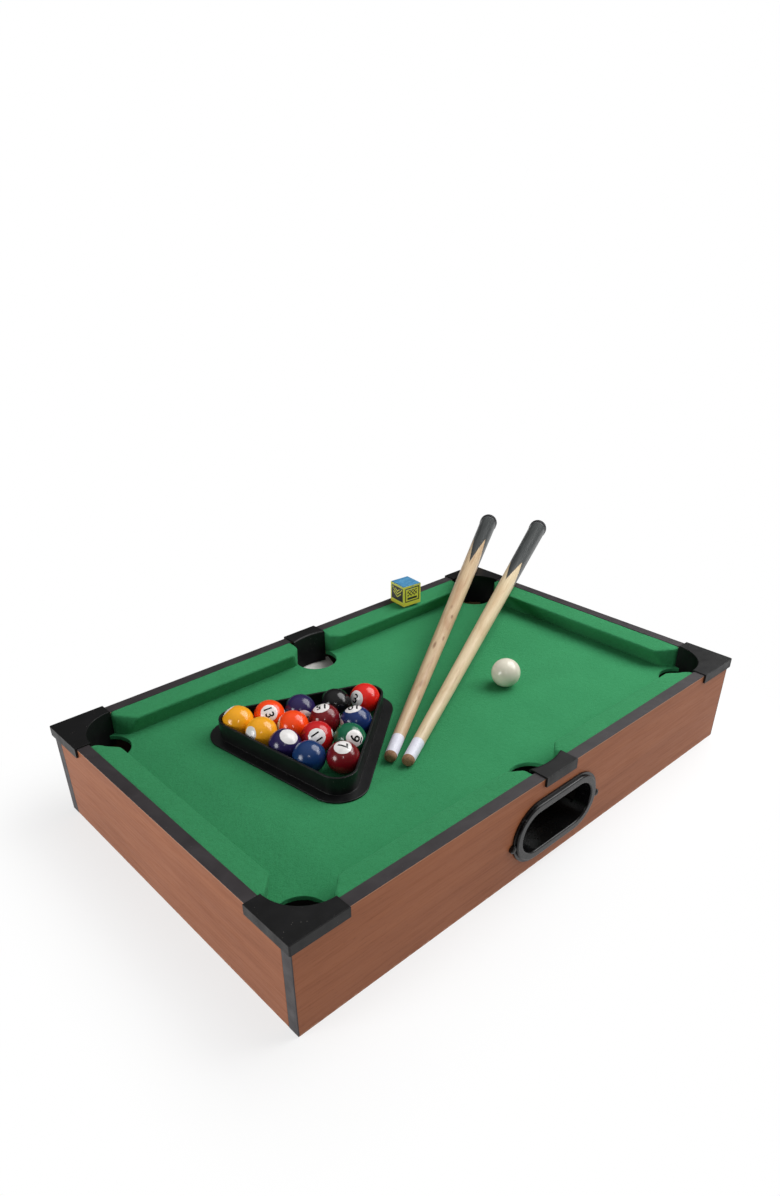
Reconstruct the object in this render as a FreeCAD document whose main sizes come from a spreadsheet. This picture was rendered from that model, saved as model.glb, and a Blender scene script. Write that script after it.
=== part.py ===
import FreeCAD, Part
import math
import os

import Sketcher

# Mini pool table with its rack, balls, cues and chalk.
# Row frame: +X along the table's length, +Y towards the long side without the ball return,
# +Z up. The origin is the centre of the table's underside.

Vector = FreeCAD.Vector
Rotation = FreeCAD.Rotation
Placement = FreeCAD.Placement

DIMENSIONS = (
    # frame
    ("table_length", 510.0),
    ("table_width", 320.0),
    ("panel_thick", 10.0),
    ("rail_top", 83.0),
    ("band_thick", 0.8),
    # playing surface
    ("cloth_top", 62.4),
    ("cloth_thick", 0.6),
    ("board_thick", 3.0),
    ("edge_gap", 0.2),
    ("pocket_radius", 20.4),
    ("corner_pocket_inset", 18.9),
    ("middle_pocket_inset", 14.1),
    # cushions
    ("cushion_width", 20.0),
    ("cushion_undercut", 8.5),
    ("cushion_back_top", 82.5),
    ("cushion_nose_top", 79.8),
    ("cushion_cover", 0.8),
    ("corner_cut", 15.8),
    ("middle_cut_run", 12.1),
    ("middle_cut_depth", 9.5),
    # pocket caps
    ("cap_plate", 1.2),
    ("cap_overhang", 1.9),
    ("cap_skirt", 7.5),
    ("cap_drop", 31.0),
    ("cap_leg", 45.0),
    ("guard_radius", 33.5),
    ("guard_wall", 1.5),
    ("guard_gap", 0.2),
    ("middle_cap_half", 18.55),
    ("middle_cap_tip", 15.5),
    ("middle_cap_arc", 50.9),
    ("middle_cap_wall", 1.6),
    # ball return
    ("port_height", 38.0),
    ("flange_half_width", 51.5),
    ("flange_half_height", 27.6),
    ("flange_thick", 1.5),
    ("bezel_step", 2.2),
    ("bezel_thick", 3.7),
    ("mouth_half_width", 42.9),
    ("mouth_half_height", 18.5),
    ("sleeve_wall", 1.8),
    ("sleeve_gap", 0.1),
    ("tray_half_width", 44.5),
    ("tray_half_height", 20.5),
    ("tray_wall", 2.0),
    ("tray_depth", 50.0),
    ("tray_side_top", 25.0),
    ("tray_back_top", 20.5),
    ("ear_radius", 3.2),
    ("ear_thick", 2.2),
    ("ear_across", 52.0),
    ("ear_height", 34.6),
    ("screw_head_radius", 2.4),
    ("screw_head_thick", 1.2),
    ("screw_shank_radius", 1.2),
    ("screw_shank_length", 8.0),
    ("screw_gap", 0.05),
    # inside
    ("base_thick", 3.0),
    ("ramp_thick", 3.0),
    ("ramp_high", 31.0),
    ("ramp_low", 25.2),
    ("centre_ramp_high", 24.8),
    ("centre_ramp_low", 20.8),
    ("centre_ramp_half", 42.6),
    ("side_ramp_inner", 43.2),
    ("chute_half", 26.0),
    ("chute_high", 51.5),
    ("chute_low", 31.0),
    ("chute_run", 32.0),
    ("batten_size", 10.0),
    ("batten_start", 50.0),
    ("batten_end", 200.0),
    ("end_batten_half", 90.0),
    ("corner_block_leg", 14.0),
    ("corner_block_top", 50.0),
    # rack
    ("rack_apothem", 48.7),
    ("rack_wall", 2.0),
    ("rack_height", 17.3),
    ("rack_flange", 8.6),
    ("rack_flange_thick", 1.6),
    ("rack_corner", 16.0),
    ("rack_x", -93.1),
    ("rack_y", 21.7),
    ("rack_turn", 67.84),
    # balls
    ("ball_radius", 13.4),
    ("rest_gap", 0.05),
    ("cue_ball_x", 95.3),
    ("cue_ball_y", -26.1),
    # cues
    ("cue_length", 493.0),
    ("cue_tip_radius", 5.1),
    ("cue_butt_radius", 10.1),
    ("leather_length", 5.0),
    ("ferrule_length", 23.0),
    ("bumper_length", 9.0),
    ("bumper_step", 0.5),
    ("left_cue_x", -70.3),
    ("left_cue_y", -45.9),
    ("left_cue_turn", 32.16),
    ("right_cue_x", -63.9),
    ("right_cue_y", -59.3),
    ("right_cue_turn", 26.58),
    ("cue_gap", 0.12),
    # chalk
    ("chalk_side", 22.5),
    ("chalk_height", 22.4),
    ("label_thick", 0.25),
    ("label_top", 21.8),
    ("chalk_dimple_radius", 40.0),
    ("chalk_dimple_depth", 0.8),
    ("chalk_x", 129.5),
    ("chalk_y", 143.0),
    ("chalk_turn", -6.0),
)

# Each object ball, how far it lies out towards the rack's far side, and how far along that side.
BALL_PLACES = (
    ("yellow_ball", 32.4, 56.4),
    ("orange_stripe_ball", 32.0, 29.5),
    ("purple_ball", 32.0, 2.6),
    ("black_ball", 30.4, -28.6),
    ("red_ball", 29.9, -55.45),
    ("yellow_stripe_ball", 8.2, 42.2),
    ("orange_ball", 8.3, 15.3),
    ("maroon_stripe_ball", 8.8, -12.2),
    ("blue_stripe_ball", -3.6, -36.0),
    ("purple_stripe_ball", -16.3, 28.8),
    ("red_stripe_ball", -14.7, 1.3),
    ("green_ball", -27.0, -22.7),
    ("blue_ball", -39.7, 15.4),
    ("maroon_ball", -50.3, -9.3),
)

SMALL_ROUND = "0.5"
CAP_CORNER_ROUND = "1.2"
CAP_BEND_ROUND = "1.8"
BEZEL_ROUND = "1.3"

HALF_LENGTH = "Dims.table_length / 2"
HALF_WIDTH = "Dims.table_width / 2"
INNER_X = "(Dims.table_length / 2 - Dims.panel_thick)"
INNER_Y = "(Dims.table_width / 2 - Dims.panel_thick)"
PANEL_TOP = "(Dims.rail_top - Dims.band_thick)"
BOARD_TOP = "(Dims.cloth_top - Dims.cloth_thick)"
BOARD_BOTTOM = "(Dims.cloth_top - Dims.cloth_thick - Dims.board_thick)"

doc = FreeCAD.newDocument("mini_pool_table")
sheet = doc.addObject("Spreadsheet::Sheet", "Dims")
for row, (alias, size) in enumerate(DIMENSIONS, start=1):
    sheet.set("A%d" % row, alias.replace("_", " "))
    sheet.set("B%d" % row, str(size))
    sheet.setAlias("B%d" % row, alias)
doc.recompute()

sub_parts = []


def value(expression):
    """The number that an expression on the sheet gives."""
    result = sheet.evalExpression(expression)
    return float(getattr(result, "Value", result))


def dim(alias):
    return float(sheet.get(alias))


# ---------------------------------------------------------------- sketches and features


def new_body(label):
    body = doc.addObject("PartDesign::Body", label)
    body.Label = label
    return body


def new_sketch(body, plane, name, lift="0"):
    """An empty sketch on one of the body's origin planes, lifted along the plane's normal."""
    sketch = body.newObject("Sketcher::SketchObject", name)
    support = [f for f in body.Origin.OriginFeatures if f.Role == plane][0]
    sketch.AttachmentSupport = (support, [""])
    sketch.MapMode = "FlatFace"
    sketch.setExpression("AttachmentOffset.Base.z", lift)
    return sketch


def pin(sketch, edge, point, x, y):
    """Fix one sketch point at the place that two expressions give."""
    for kind, axis, expression in (("DistanceX", -2, x), ("DistanceY", -1, y)):
        if abs(value(expression)) < 1e-9:
            sketch.addConstraint(Sketcher.Constraint("PointOnObject", edge, point, axis))
            continue
        index = sketch.addConstraint(Sketcher.Constraint(kind, edge, point, value(expression)))
        sketch.setExpression("Constraints[%d]" % index, expression)


def draw_outline(sketch, corners):
    """Add a closed outline. A corner is (x, y), or (x, y, radius, side) where an arc leaves it,
    bulging to the left (side 1) or to the right (side -1) of its chord."""
    first = sketch.GeometryCount
    count = len(corners)
    spots = [Vector(value(c[0]), value(c[1]), 0) for c in corners]
    for i, corner in enumerate(corners):
        start, end = spots[i], spots[(i + 1) % count]
        if len(corner) == 2:
            sketch.addGeometry(Part.LineSegment(start, end), False)
            continue
        radius = value(corner[2])
        chord = end - start
        left = Vector(-chord.y, chord.x, 0).normalize()
        sagitta = radius - math.sqrt(radius ** 2 - (chord.Length / 2) ** 2)
        middle = (start + end) * 0.5 + left * (corner[3] * sagitta)
        sketch.addGeometry(Part.Arc(start, middle, end), False)
    for i, corner in enumerate(corners):
        after = (i + 1) % count
        here_end = end_of(sketch, first + i, spots[after])
        next_start = end_of(sketch, first + after, spots[after])
        sketch.addConstraint(
            Sketcher.Constraint("Coincident", first + i, here_end, first + after, next_start)
        )
        pin(sketch, first + i, end_of(sketch, first + i, spots[i]), corner[0], corner[1])
        if len(corner) == 4:
            index = sketch.addConstraint(
                Sketcher.Constraint("Radius", first + i, value(corner[2]))
            )
            sketch.setExpression("Constraints[%d]" % index, corner[2])


def end_of(sketch, edge, spot):
    """1 or 2: which end of a sketch edge lies at a spot."""
    gap_start = (sketch.getPoint(edge, 1) - spot).Length
    gap_end = (sketch.getPoint(edge, 2) - spot).Length
    return 1 if gap_start < gap_end else 2


def draw_circle(sketch, x, y, radius):
    centre = Vector(value(x), value(y), 0)
    edge = sketch.addGeometry(Part.Circle(centre, Vector(0, 0, 1), value(radius)), False)
    pin(sketch, edge, 3, x, y)
    index = sketch.addConstraint(Sketcher.Constraint("Radius", edge, value(radius)))
    sketch.setExpression("Constraints[%d]" % index, radius)


def draw_slot(sketch, half_width, half_height, height):
    """A slot with round ends, its long way along the sketch's x, centred on x = 0."""
    radius = value(half_height)
    reach = value("%s - %s" % (half_width, half_height))
    middle = value(height)
    top, bottom = middle + radius, middle - radius
    edges = (
        Part.LineSegment(Vector(reach, top, 0), Vector(-reach, top, 0)),
        Part.Arc(Vector(-reach, top, 0), Vector(-reach - radius, middle, 0),
                 Vector(-reach, bottom, 0)),
        Part.LineSegment(Vector(-reach, bottom, 0), Vector(reach, bottom, 0)),
        Part.Arc(Vector(reach, bottom, 0), Vector(reach + radius, middle, 0),
                 Vector(reach, top, 0)),
    )
    first = sketch.GeometryCount
    for edge in edges:
        sketch.addGeometry(edge, False)
    for i in range(4):
        sketch.addConstraint(
            Sketcher.Constraint("Tangent", first + i, 2, first + (i + 1) % 4, 1)
        )
    sketch.addConstraint(Sketcher.Constraint("Equal", first + 1, first + 3))
    index = sketch.addConstraint(Sketcher.Constraint("Radius", first + 1, radius))
    sketch.setExpression("Constraints[%d]" % index, half_height)
    pin(sketch, first + 1, 3, "%s - %s" % (half_height, half_width), height)
    pin(sketch, first + 3, 3, "%s - %s" % (half_width, half_height), height)


def box_corners(x_low, y_low, x_high, y_high):
    return [(x_low, y_low), (x_high, y_low), (x_high, y_high), (x_low, y_high)]


def pad(body, sketch, length, backwards=False):
    """Extrude a sketch along its normal, or against it."""
    feature = body.newObject("PartDesign::Pad", sketch.Name + "_pad")
    feature.Profile = sketch
    feature.Reversed = backwards
    feature.setExpression("Length", length)
    return feature


def pocket(body, sketch, depth, forwards=False):
    """Cut a sketch away against its normal, or along it."""
    feature = body.newObject("PartDesign::Pocket", sketch.Name + "_pocket")
    feature.Profile = sketch
    feature.Reversed = forwards
    feature.setExpression("Length", depth)
    return feature


def revolve(body, sketch):
    """Turn a sketch on the XY plane once about the body's X axis."""
    feature = body.newObject("PartDesign::Revolution", sketch.Name + "_turned")
    feature.Profile = sketch
    axis = [f for f in body.Origin.OriginFeatures if f.Role == "X_Axis"][0]
    feature.ReferenceAxis = (axis, [""])
    feature.Angle = 360
    return feature


def fillet(body, feature, radius, wanted):
    """Round the edges of a feature that a test on each edge picks."""
    doc.recompute()
    names = []
    for number, edge in enumerate(feature.Shape.Edges, start=1):
        if wanted(edge):
            names.append("Edge%d" % number)
    rounded = body.newObject("PartDesign::Fillet", feature.Name + "_round")
    rounded.Base = (feature, names)
    rounded.setExpression("Radius", radius)
    return rounded


def is_upright(edge):
    box = edge.BoundBox
    return box.ZLength > 1e-3 and box.XLength < 1e-6 and box.YLength < 1e-6


def finish(part, placement=None):
    """List an object as a sub-part, and place it."""
    if placement is not None:
        part.Placement = placement
    sub_parts.append(part)
    return part


def turned(x, y, z, degrees):
    return Placement(Vector(x, y, z), Rotation(Vector(0, 0, 1), degrees))


def slab(label, corners, bottom, thick):
    """A flat piece of even thickness, listed as a sub-part."""
    body = new_body(label)
    sketch = new_sketch(body, "XY_Plane", label + "_outline", bottom)
    draw_outline(sketch, corners)
    pad(body, sketch, thick)
    return finish(body)


def group(label, members):
    """One sub-part that holds several separate solids."""
    compound = doc.addObject("Part::Compound", label)
    compound.Label = label
    compound.Links = members
    return finish(compound)


# ---------------------------------------------------------------- frame panels and bands


def long_panel_corners(side):
    reach = HALF_LENGTH + " - Dims.band_thick"
    near = "%d * %s" % (side, HALF_WIDTH)
    far = "%d * %s" % (side, INNER_Y)
    return box_corners("-(%s)" % reach, near, reach, far)


def make_rear_panel():
    slab("rear_panel", long_panel_corners(1), "0", PANEL_TOP)


def make_front_panel():
    """The long panel with the ball return's cut-out and its two pilot holes."""
    body = new_body("front_panel")
    outline = new_sketch(body, "XY_Plane", "front_panel_outline")
    draw_outline(outline, long_panel_corners(-1))
    pad(body, outline, PANEL_TOP)
    cut = new_sketch(body, "XZ_Plane", "front_panel_cutout", HALF_WIDTH)
    sleeve_grow = "Dims.sleeve_wall + Dims.sleeve_gap"
    draw_slot(
        cut,
        "(Dims.mouth_half_width + %s)" % sleeve_grow,
        "(Dims.mouth_half_height + %s)" % sleeve_grow,
        "Dims.port_height",
    )
    pocket(body, cut, "Dims.panel_thick")
    pilots = new_sketch(body, "XZ_Plane", "front_panel_pilots", HALF_WIDTH)
    for side in (-1, 1):
        draw_circle(
            pilots,
            "%d * Dims.ear_across" % side,
            "Dims.ear_height",
            "Dims.screw_shank_radius + Dims.screw_gap",
        )
    pocket(body, pilots, "Dims.screw_shank_length + Dims.screw_gap")
    finish(body)


def make_end_panels():
    for label, side in (("left_end_panel", -1), ("right_end_panel", 1)):
        outer = "%d * %s" % (side, HALF_LENGTH)
        inner = "%d * %s" % (side, INNER_X)
        slab(label, box_corners(inner, "-" + INNER_Y, outer, INNER_Y), "0", PANEL_TOP)


def make_top_bands():
    """The dark bands glued on the panels' top edges."""
    for label, side in (("front_top_band", -1), ("rear_top_band", 1)):
        near = "%d * %s" % (side, HALF_WIDTH)
        far = "%d * %s" % (side, INNER_Y)
        corners = box_corners("-" + HALF_LENGTH, near, HALF_LENGTH, far)
        slab(label, corners, PANEL_TOP, "Dims.band_thick")
    for label, side in (("left_top_band", -1), ("right_top_band", 1)):
        outer = "%d * %s" % (side, HALF_LENGTH)
        inner = "%d * %s" % (side, INNER_X)
        corners = box_corners(inner, "-" + INNER_Y, outer, INNER_Y)
        slab(label, corners, PANEL_TOP, "Dims.band_thick")


def make_corner_bands():
    """Four upright bands on the sawn ends of the long panels."""
    bands = []
    for x_side in (-1, 1):
        for y_side in (-1, 1):
            body = new_body("corner_band_%d" % (len(bands) + 1))
            sketch = new_sketch(body, "XY_Plane", body.Name + "_outline")
            outer = "%d * %s" % (x_side, HALF_LENGTH)
            inner = "%d * (%s - Dims.band_thick)" % (x_side, HALF_LENGTH)
            near = "%d * %s" % (y_side, HALF_WIDTH)
            far = "%d * %s" % (y_side, INNER_Y)
            draw_outline(sketch, box_corners(inner, near, outer, far))
            pad(body, sketch, PANEL_TOP)
            bands.append(body)
    group("corner_bands", bands)


# ---------------------------------------------------------------- playing surface


def make_playing_sheet(label, bottom, thick):
    """The board or its cloth: a rectangle cut away at the six pockets and behind the caps."""
    body = new_body(label)
    outline = new_sketch(body, "XY_Plane", label + "_outline", bottom)
    reach_x = "(%s - Dims.edge_gap)" % INNER_X
    reach_y = "(%s - Dims.edge_gap)" % INNER_Y
    draw_outline(outline, box_corners("-" + reach_x, "-" + reach_y, reach_x, reach_y))
    pad(body, outline, thick)

    top = "%s + %s" % (bottom, thick)
    holes = new_sketch(body, "XY_Plane", label + "_pockets", top)
    for x_side in (-1, 0, 1):
        for y_side in (-1, 1):
            inset = "Dims.corner_pocket_inset" if x_side else "Dims.middle_pocket_inset"
            x = "%d * (%s - Dims.corner_pocket_inset)" % (x_side, INNER_X)
            y = "%d * (%s - %s)" % (y_side, INNER_Y, inset)
            draw_circle(holes, x, y, "Dims.pocket_radius")
    pocket(body, holes, thick)

    corners = new_sketch(body, "XY_Plane", label + "_corner_cuts", top)
    radius = "(Dims.guard_radius - Dims.guard_gap)"
    for x_side in (-1, 1):
        for y_side in (-1, 1):
            middle_x = "(%s - Dims.cap_leg)" % HALF_LENGTH
            middle_y = "(%s - Dims.cap_leg)" % HALF_WIDTH
            draw_outline(corners, [
                ("%d * (%s + %s)" % (x_side, middle_x, radius), "%d * %s" % (y_side, middle_y),
                 radius, x_side * y_side * -1),
                ("%d * %s" % (x_side, middle_x), "%d * (%s + %s)" % (y_side, middle_y, radius)),
                ("%d * %s" % (x_side, middle_x), "%d * %s" % (y_side, HALF_WIDTH)),
                ("%d * %s" % (x_side, HALF_LENGTH), "%d * %s" % (y_side, HALF_WIDTH)),
                ("%d * %s" % (x_side, HALF_LENGTH), "%d * %s" % (y_side, middle_y)),
            ])
    pocket(body, corners, thick)

    notches = new_sketch(body, "XY_Plane", label + "_middle_cuts", top)
    half = "(Dims.middle_cap_half + Dims.guard_gap)"
    for y_side in (-1, 1):
        low = "%d * (%s - Dims.panel_thick)" % (y_side, INNER_Y)
        high = "%d * %s" % (y_side, HALF_WIDTH)
        draw_outline(notches, box_corners("-" + half, low, half, high))
    pocket(body, notches, thick)
    finish(body)


# ---------------------------------------------------------------- cushions


def cushion_form(name, plan, nose, back, inset):
    """A cushion or its core on the front side: a plan outline cut to the cushion's section.
    The section's back and foot stay where they are, and its top and face move in by inset."""
    body = new_body(name)
    outline = new_sketch(body, "XY_Plane", name + "_plan", "Dims.cloth_top")
    draw_outline(outline, plan)
    pad(body, outline, "Dims.cushion_back_top - Dims.cloth_top")
    far_end = HALF_LENGTH
    section = new_sketch(body, "YZ_Plane", name + "_section", far_end)
    back_top = "(Dims.cushion_back_top - %s)" % inset
    nose_top = "(Dims.cushion_nose_top - %s)" % inset
    nose_in = "(%s - %s)" % (nose, inset)
    foot = "(%s - Dims.cushion_undercut)" % nose_in
    air = "(%s + Dims.cushion_width)" % nose_in
    above = "(Dims.cushion_back_top + Dims.cushion_width)"
    below = "(Dims.cloth_top - Dims.cushion_cover)"
    draw_outline(section, [
        (back, back_top),
        (nose_in, nose_top),
        (foot, "Dims.cloth_top"),
        (foot, below),
        (air, below),
        (air, above),
        (back, above),
    ])
    pocket(body, section, "Dims.table_length")
    return body


def long_cushion_plan(mirror, inset):
    """Front side, from the corner pocket's cut end to the middle pocket's cut end."""
    back = "-" + INNER_Y
    nose = "(Dims.cushion_width - %s - %s)" % (INNER_Y, inset)
    corner = "(-(%s - Dims.cap_leg - Dims.guard_gap - %s))" % (HALF_LENGTH, inset)
    middle = "(-(Dims.middle_cap_half + 2 * Dims.guard_gap + %s))" % inset
    points = [
        (corner, back),
        (corner, "(%s - Dims.corner_cut)" % nose),
        ("(%s + Dims.corner_cut)" % corner, nose),
        ("(%s - Dims.middle_cut_run)" % middle, nose),
        (middle, "(%s - Dims.middle_cut_depth)" % nose),
        (middle, back),
    ]
    if mirror:
        points = [("-1 * %s" % x, y) for x, y in reversed(points)]
    return points


def end_cushion_plan(inset):
    """As on the front side, to be turned to an end: both ends are corner cuts."""
    back = "-" + INNER_X
    nose = "(Dims.cushion_width - %s - %s)" % (INNER_X, inset)
    reach = "(%s - Dims.cap_leg - Dims.guard_gap - %s)" % (HALF_WIDTH, inset)
    cut = "(%s - Dims.corner_cut)" % nose
    tip = "(%s - Dims.corner_cut)" % reach
    return [
        ("-" + reach, back),
        ("-" + reach, cut),
        ("-" + tip, nose),
        (tip, nose),
        (reach, cut),
        (reach, back),
    ]


def make_cushions():
    """Six wooden cores, each wrapped in cloth over its top, face and ends."""
    cores = []
    cover = "Dims.cushion_cover"
    long_nose = "(Dims.cushion_width - %s)" % INNER_Y
    end_nose = "(Dims.cushion_width - %s)" % INNER_X
    # name, long cushion, mirrored, turn
    layout = (
        ("front_left_cushion", True, False, 0),
        ("front_right_cushion", True, True, 0),
        ("rear_right_cushion", True, False, 180),
        ("rear_left_cushion", True, True, 180),
        ("left_end_cushion", False, False, -90),
        ("right_end_cushion", False, False, 90),
    )
    for label, is_long, mirror, turn in layout:
        back = "-" + (INNER_Y if is_long else INNER_X)
        nose = long_nose if is_long else end_nose
        forms = []
        for kind, inset in (("form", "0"), ("core", cover)):
            plan = long_cushion_plan(mirror, inset) if is_long else end_cushion_plan(inset)
            forms.append(cushion_form("%s_%s" % (label, kind), plan, nose, back, inset))
        for form in forms:
            form.Placement = turned(0, 0, 0, turn)
        wrap = doc.addObject("Part::Cut", label)
        wrap.Label = label
        wrap.Base, wrap.Tool = forms
        finish(wrap)
        cores.append(forms[1])
    group("cushion_cores", cores)


# ---------------------------------------------------------------- pocket caps


def make_corner_cap(label, placement):
    """A square plate with a round bite over two panel ends, an outer skirt, and a curved
    guard down into the pocket. The panels' outer corner is at the cap's origin."""
    body = new_body(label)
    out = "-Dims.cap_overhang"
    leg = "Dims.cap_leg"
    plate = new_sketch(body, "XY_Plane", label + "_plate")
    draw_outline(plate, [
        (out, out),
        (leg, out),
        (leg, "(%s - Dims.guard_radius)" % leg, "Dims.guard_radius", 1),
        ("(%s - Dims.guard_radius)" % leg, leg),
        (out, leg),
    ])
    pad(body, plate, "Dims.cap_plate")
    skirt = new_sketch(body, "XY_Plane", label + "_skirt", "Dims.cap_plate")
    draw_outline(skirt, [(out, out), (leg, out), (leg, "0"), ("0", "0"), ("0", leg), (out, leg)])
    pad(body, skirt, "Dims.cap_plate + Dims.cap_skirt", backwards=True)
    guard = new_sketch(body, "XY_Plane", label + "_guard", "Dims.cap_plate")
    inner = "(%s - Dims.guard_radius)" % leg
    outer = "(%s - Dims.guard_radius - Dims.guard_wall)" % leg
    draw_outline(guard, [
        (leg, outer),
        (leg, inner, "Dims.guard_radius", 1),
        (inner, leg),
        (outer, leg, "Dims.guard_radius + Dims.guard_wall", -1),
    ])
    last = pad(body, guard, "Dims.cap_plate + Dims.cap_drop", backwards=True)
    edge_out = value(out)
    top = dim("cap_plate")

    def is_outer_corner(edge):
        box = edge.BoundBox
        return is_upright(edge) and abs(box.XMin - edge_out) + abs(box.YMin - edge_out) < 1e-6

    def is_top_rim(edge):
        box = edge.BoundBox
        flat = box.ZLength < 1e-6 and abs(box.ZMin - top) < 1e-6
        return flat and (box.XMin < edge_out + 1 or box.YMin < edge_out + 1 or len(edge.Vertexes) == 2
                         and edge.Curve.TypeId == "Part::GeomCircle")

    last = fillet(body, last, CAP_CORNER_ROUND, is_outer_corner)
    fillet(body, last, SMALL_ROUND, is_top_rim)
    finish(body, placement)


def make_corner_caps():
    half_length, half_width = value(HALF_LENGTH), value(HALF_WIDTH)
    top = dim("rail_top")
    layout = (
        ("front_left_cap", -half_length, -half_width, 0),
        ("front_right_cap", half_length, -half_width, 90),
        ("rear_right_cap", half_length, half_width, 180),
        ("rear_left_cap", -half_length, half_width, -90),
    )
    for label, x, y, turn in layout:
        make_corner_cap(label, turned(x, y, top, turn))


def make_middle_cap(label, placement):
    """A strap over a long panel, bent down into the pocket. The panel's outer face is y = 0."""
    body = new_body(label)
    half = "Dims.middle_cap_half"
    out = "-Dims.cap_overhang"
    tip = "Dims.middle_cap_tip"
    arc = "Dims.middle_cap_arc"
    wall = "Dims.middle_cap_wall"
    plate = new_sketch(body, "XY_Plane", label + "_plate")
    draw_outline(plate, [("-" + half, out), (half, out), (half, tip, arc, 1), ("-" + half, tip)])
    pad(body, plate, "Dims.cap_plate")
    skirt = new_sketch(body, "XY_Plane", label + "_skirt", "Dims.cap_plate")
    draw_outline(skirt, box_corners("-" + half, out, half, "0"))
    pad(body, skirt, "Dims.cap_plate + Dims.cap_skirt", backwards=True)
    drop = new_sketch(body, "XY_Plane", label + "_drop", "Dims.cap_plate")
    behind = "(%s - %s)" % (tip, wall)
    draw_outline(drop, [
        ("-" + half, behind, "(%s + %s)" % (arc, wall), -1),
        (half, behind),
        (half, tip, arc, 1),
        ("-" + half, tip),
    ])
    last = pad(body, drop, "Dims.cap_plate + Dims.cap_drop", backwards=True)
    top = dim("cap_plate")
    edge_out = value(out)

    def is_bend(edge):
        box = edge.BoundBox
        return abs(box.ZMin - top) + box.ZLength < 1e-6 and edge.Curve.TypeId == "Part::GeomCircle"

    def is_outer_rim(edge):
        box = edge.BoundBox
        return abs(box.ZMin - top) + box.ZLength < 1e-6 and box.YMax < edge_out + 1e-6

    last = fillet(body, last, CAP_BEND_ROUND, is_bend)
    fillet(body, last, SMALL_ROUND, is_outer_rim)
    finish(body, placement)


def make_middle_caps():
    half_width = value(HALF_WIDTH)
    top = dim("rail_top")
    make_middle_cap("front_middle_cap", turned(0, -half_width, top, 0))
    make_middle_cap("rear_middle_cap", turned(0, half_width, top, 180))


# ---------------------------------------------------------------- ball return


def make_return_cup():
    """A moulded cup: a raised oval bezel, a sleeve through the panel and a tray behind it."""
    body = new_body("ball_return_cup")
    middle = "Dims.port_height"

    def slot(name, lift, half_width, half_height):
        sketch = new_sketch(body, "XZ_Plane", name, lift)
        draw_slot(sketch, half_width, half_height, middle)
        return sketch

    pad(body, slot("flange", HALF_WIDTH, "Dims.flange_half_width", "Dims.flange_half_height"),
        "Dims.flange_thick")
    bezel = slot("bezel", HALF_WIDTH, "(Dims.flange_half_width - Dims.bezel_step)",
                 "(Dims.flange_half_height - Dims.bezel_step)")
    pad(body, bezel, "Dims.bezel_thick")
    ears = new_sketch(body, "XZ_Plane", "ears", HALF_WIDTH)
    for side in (-1, 1):
        draw_circle(ears, "%d * Dims.ear_across" % side, "Dims.ear_height", "Dims.ear_radius")
    pad(body, ears, "Dims.ear_thick")
    sleeve = slot("sleeve", HALF_WIDTH, "(Dims.mouth_half_width + Dims.sleeve_wall)",
                  "(Dims.mouth_half_height + Dims.sleeve_wall)")
    pad(body, sleeve, "Dims.panel_thick", backwards=True)
    tray = slot("tray", INNER_Y, "(Dims.tray_half_width + Dims.tray_wall)",
                "(Dims.tray_half_height + Dims.tray_wall)")
    pad(body, tray, "Dims.tray_depth", backwards=True)
    hollow = slot("tray_hollow", "(%s - Dims.tray_wall)" % INNER_Y, "Dims.tray_half_width",
                  "Dims.tray_half_height")
    pocket(body, hollow, "Dims.tray_depth - 2 * Dims.tray_wall")
    mouth = slot("mouth", "(%s + Dims.bezel_thick)" % HALF_WIDTH, "Dims.mouth_half_width",
                 "Dims.mouth_half_height")
    pocket(body, mouth, "Dims.bezel_thick + Dims.panel_thick + Dims.tray_wall")
    reach = "(Dims.tray_half_width + 2 * Dims.tray_wall)"
    ceiling = "(%s + Dims.tray_half_height + 2 * Dims.tray_wall)" % middle
    trim = new_sketch(body, "XZ_Plane", "tray_trim", INNER_Y)
    draw_outline(trim, box_corners("-" + reach, "Dims.tray_side_top", reach, ceiling))
    pocket(body, trim, "Dims.tray_depth")
    back_lift = "(%s - Dims.tray_depth + Dims.tray_wall)" % INNER_Y
    back = new_sketch(body, "XZ_Plane", "tray_back_trim", back_lift)
    draw_outline(back, box_corners("-" + reach, "Dims.tray_back_top", reach, ceiling))
    pocket(body, back, "Dims.tray_wall")
    pilots = new_sketch(body, "XZ_Plane", "ear_holes", "(%s + Dims.bezel_thick)" % HALF_WIDTH)
    for side in (-1, 1):
        draw_circle(pilots, "%d * Dims.ear_across" % side, "Dims.ear_height",
                    "Dims.screw_shank_radius + Dims.screw_gap")
    last = pocket(body, pilots, "Dims.bezel_thick")
    front = -value("%s + Dims.bezel_thick" % HALF_WIDTH)

    def is_bezel_edge(edge):
        box = edge.BoundBox
        at_front = abs(box.YMin - front) + box.YLength < 1e-6
        return at_front and max(box.XLength, box.ZLength) > 4 * dim("screw_shank_radius")

    fillet(body, last, BEZEL_ROUND, is_bezel_edge)
    finish(body)


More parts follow.
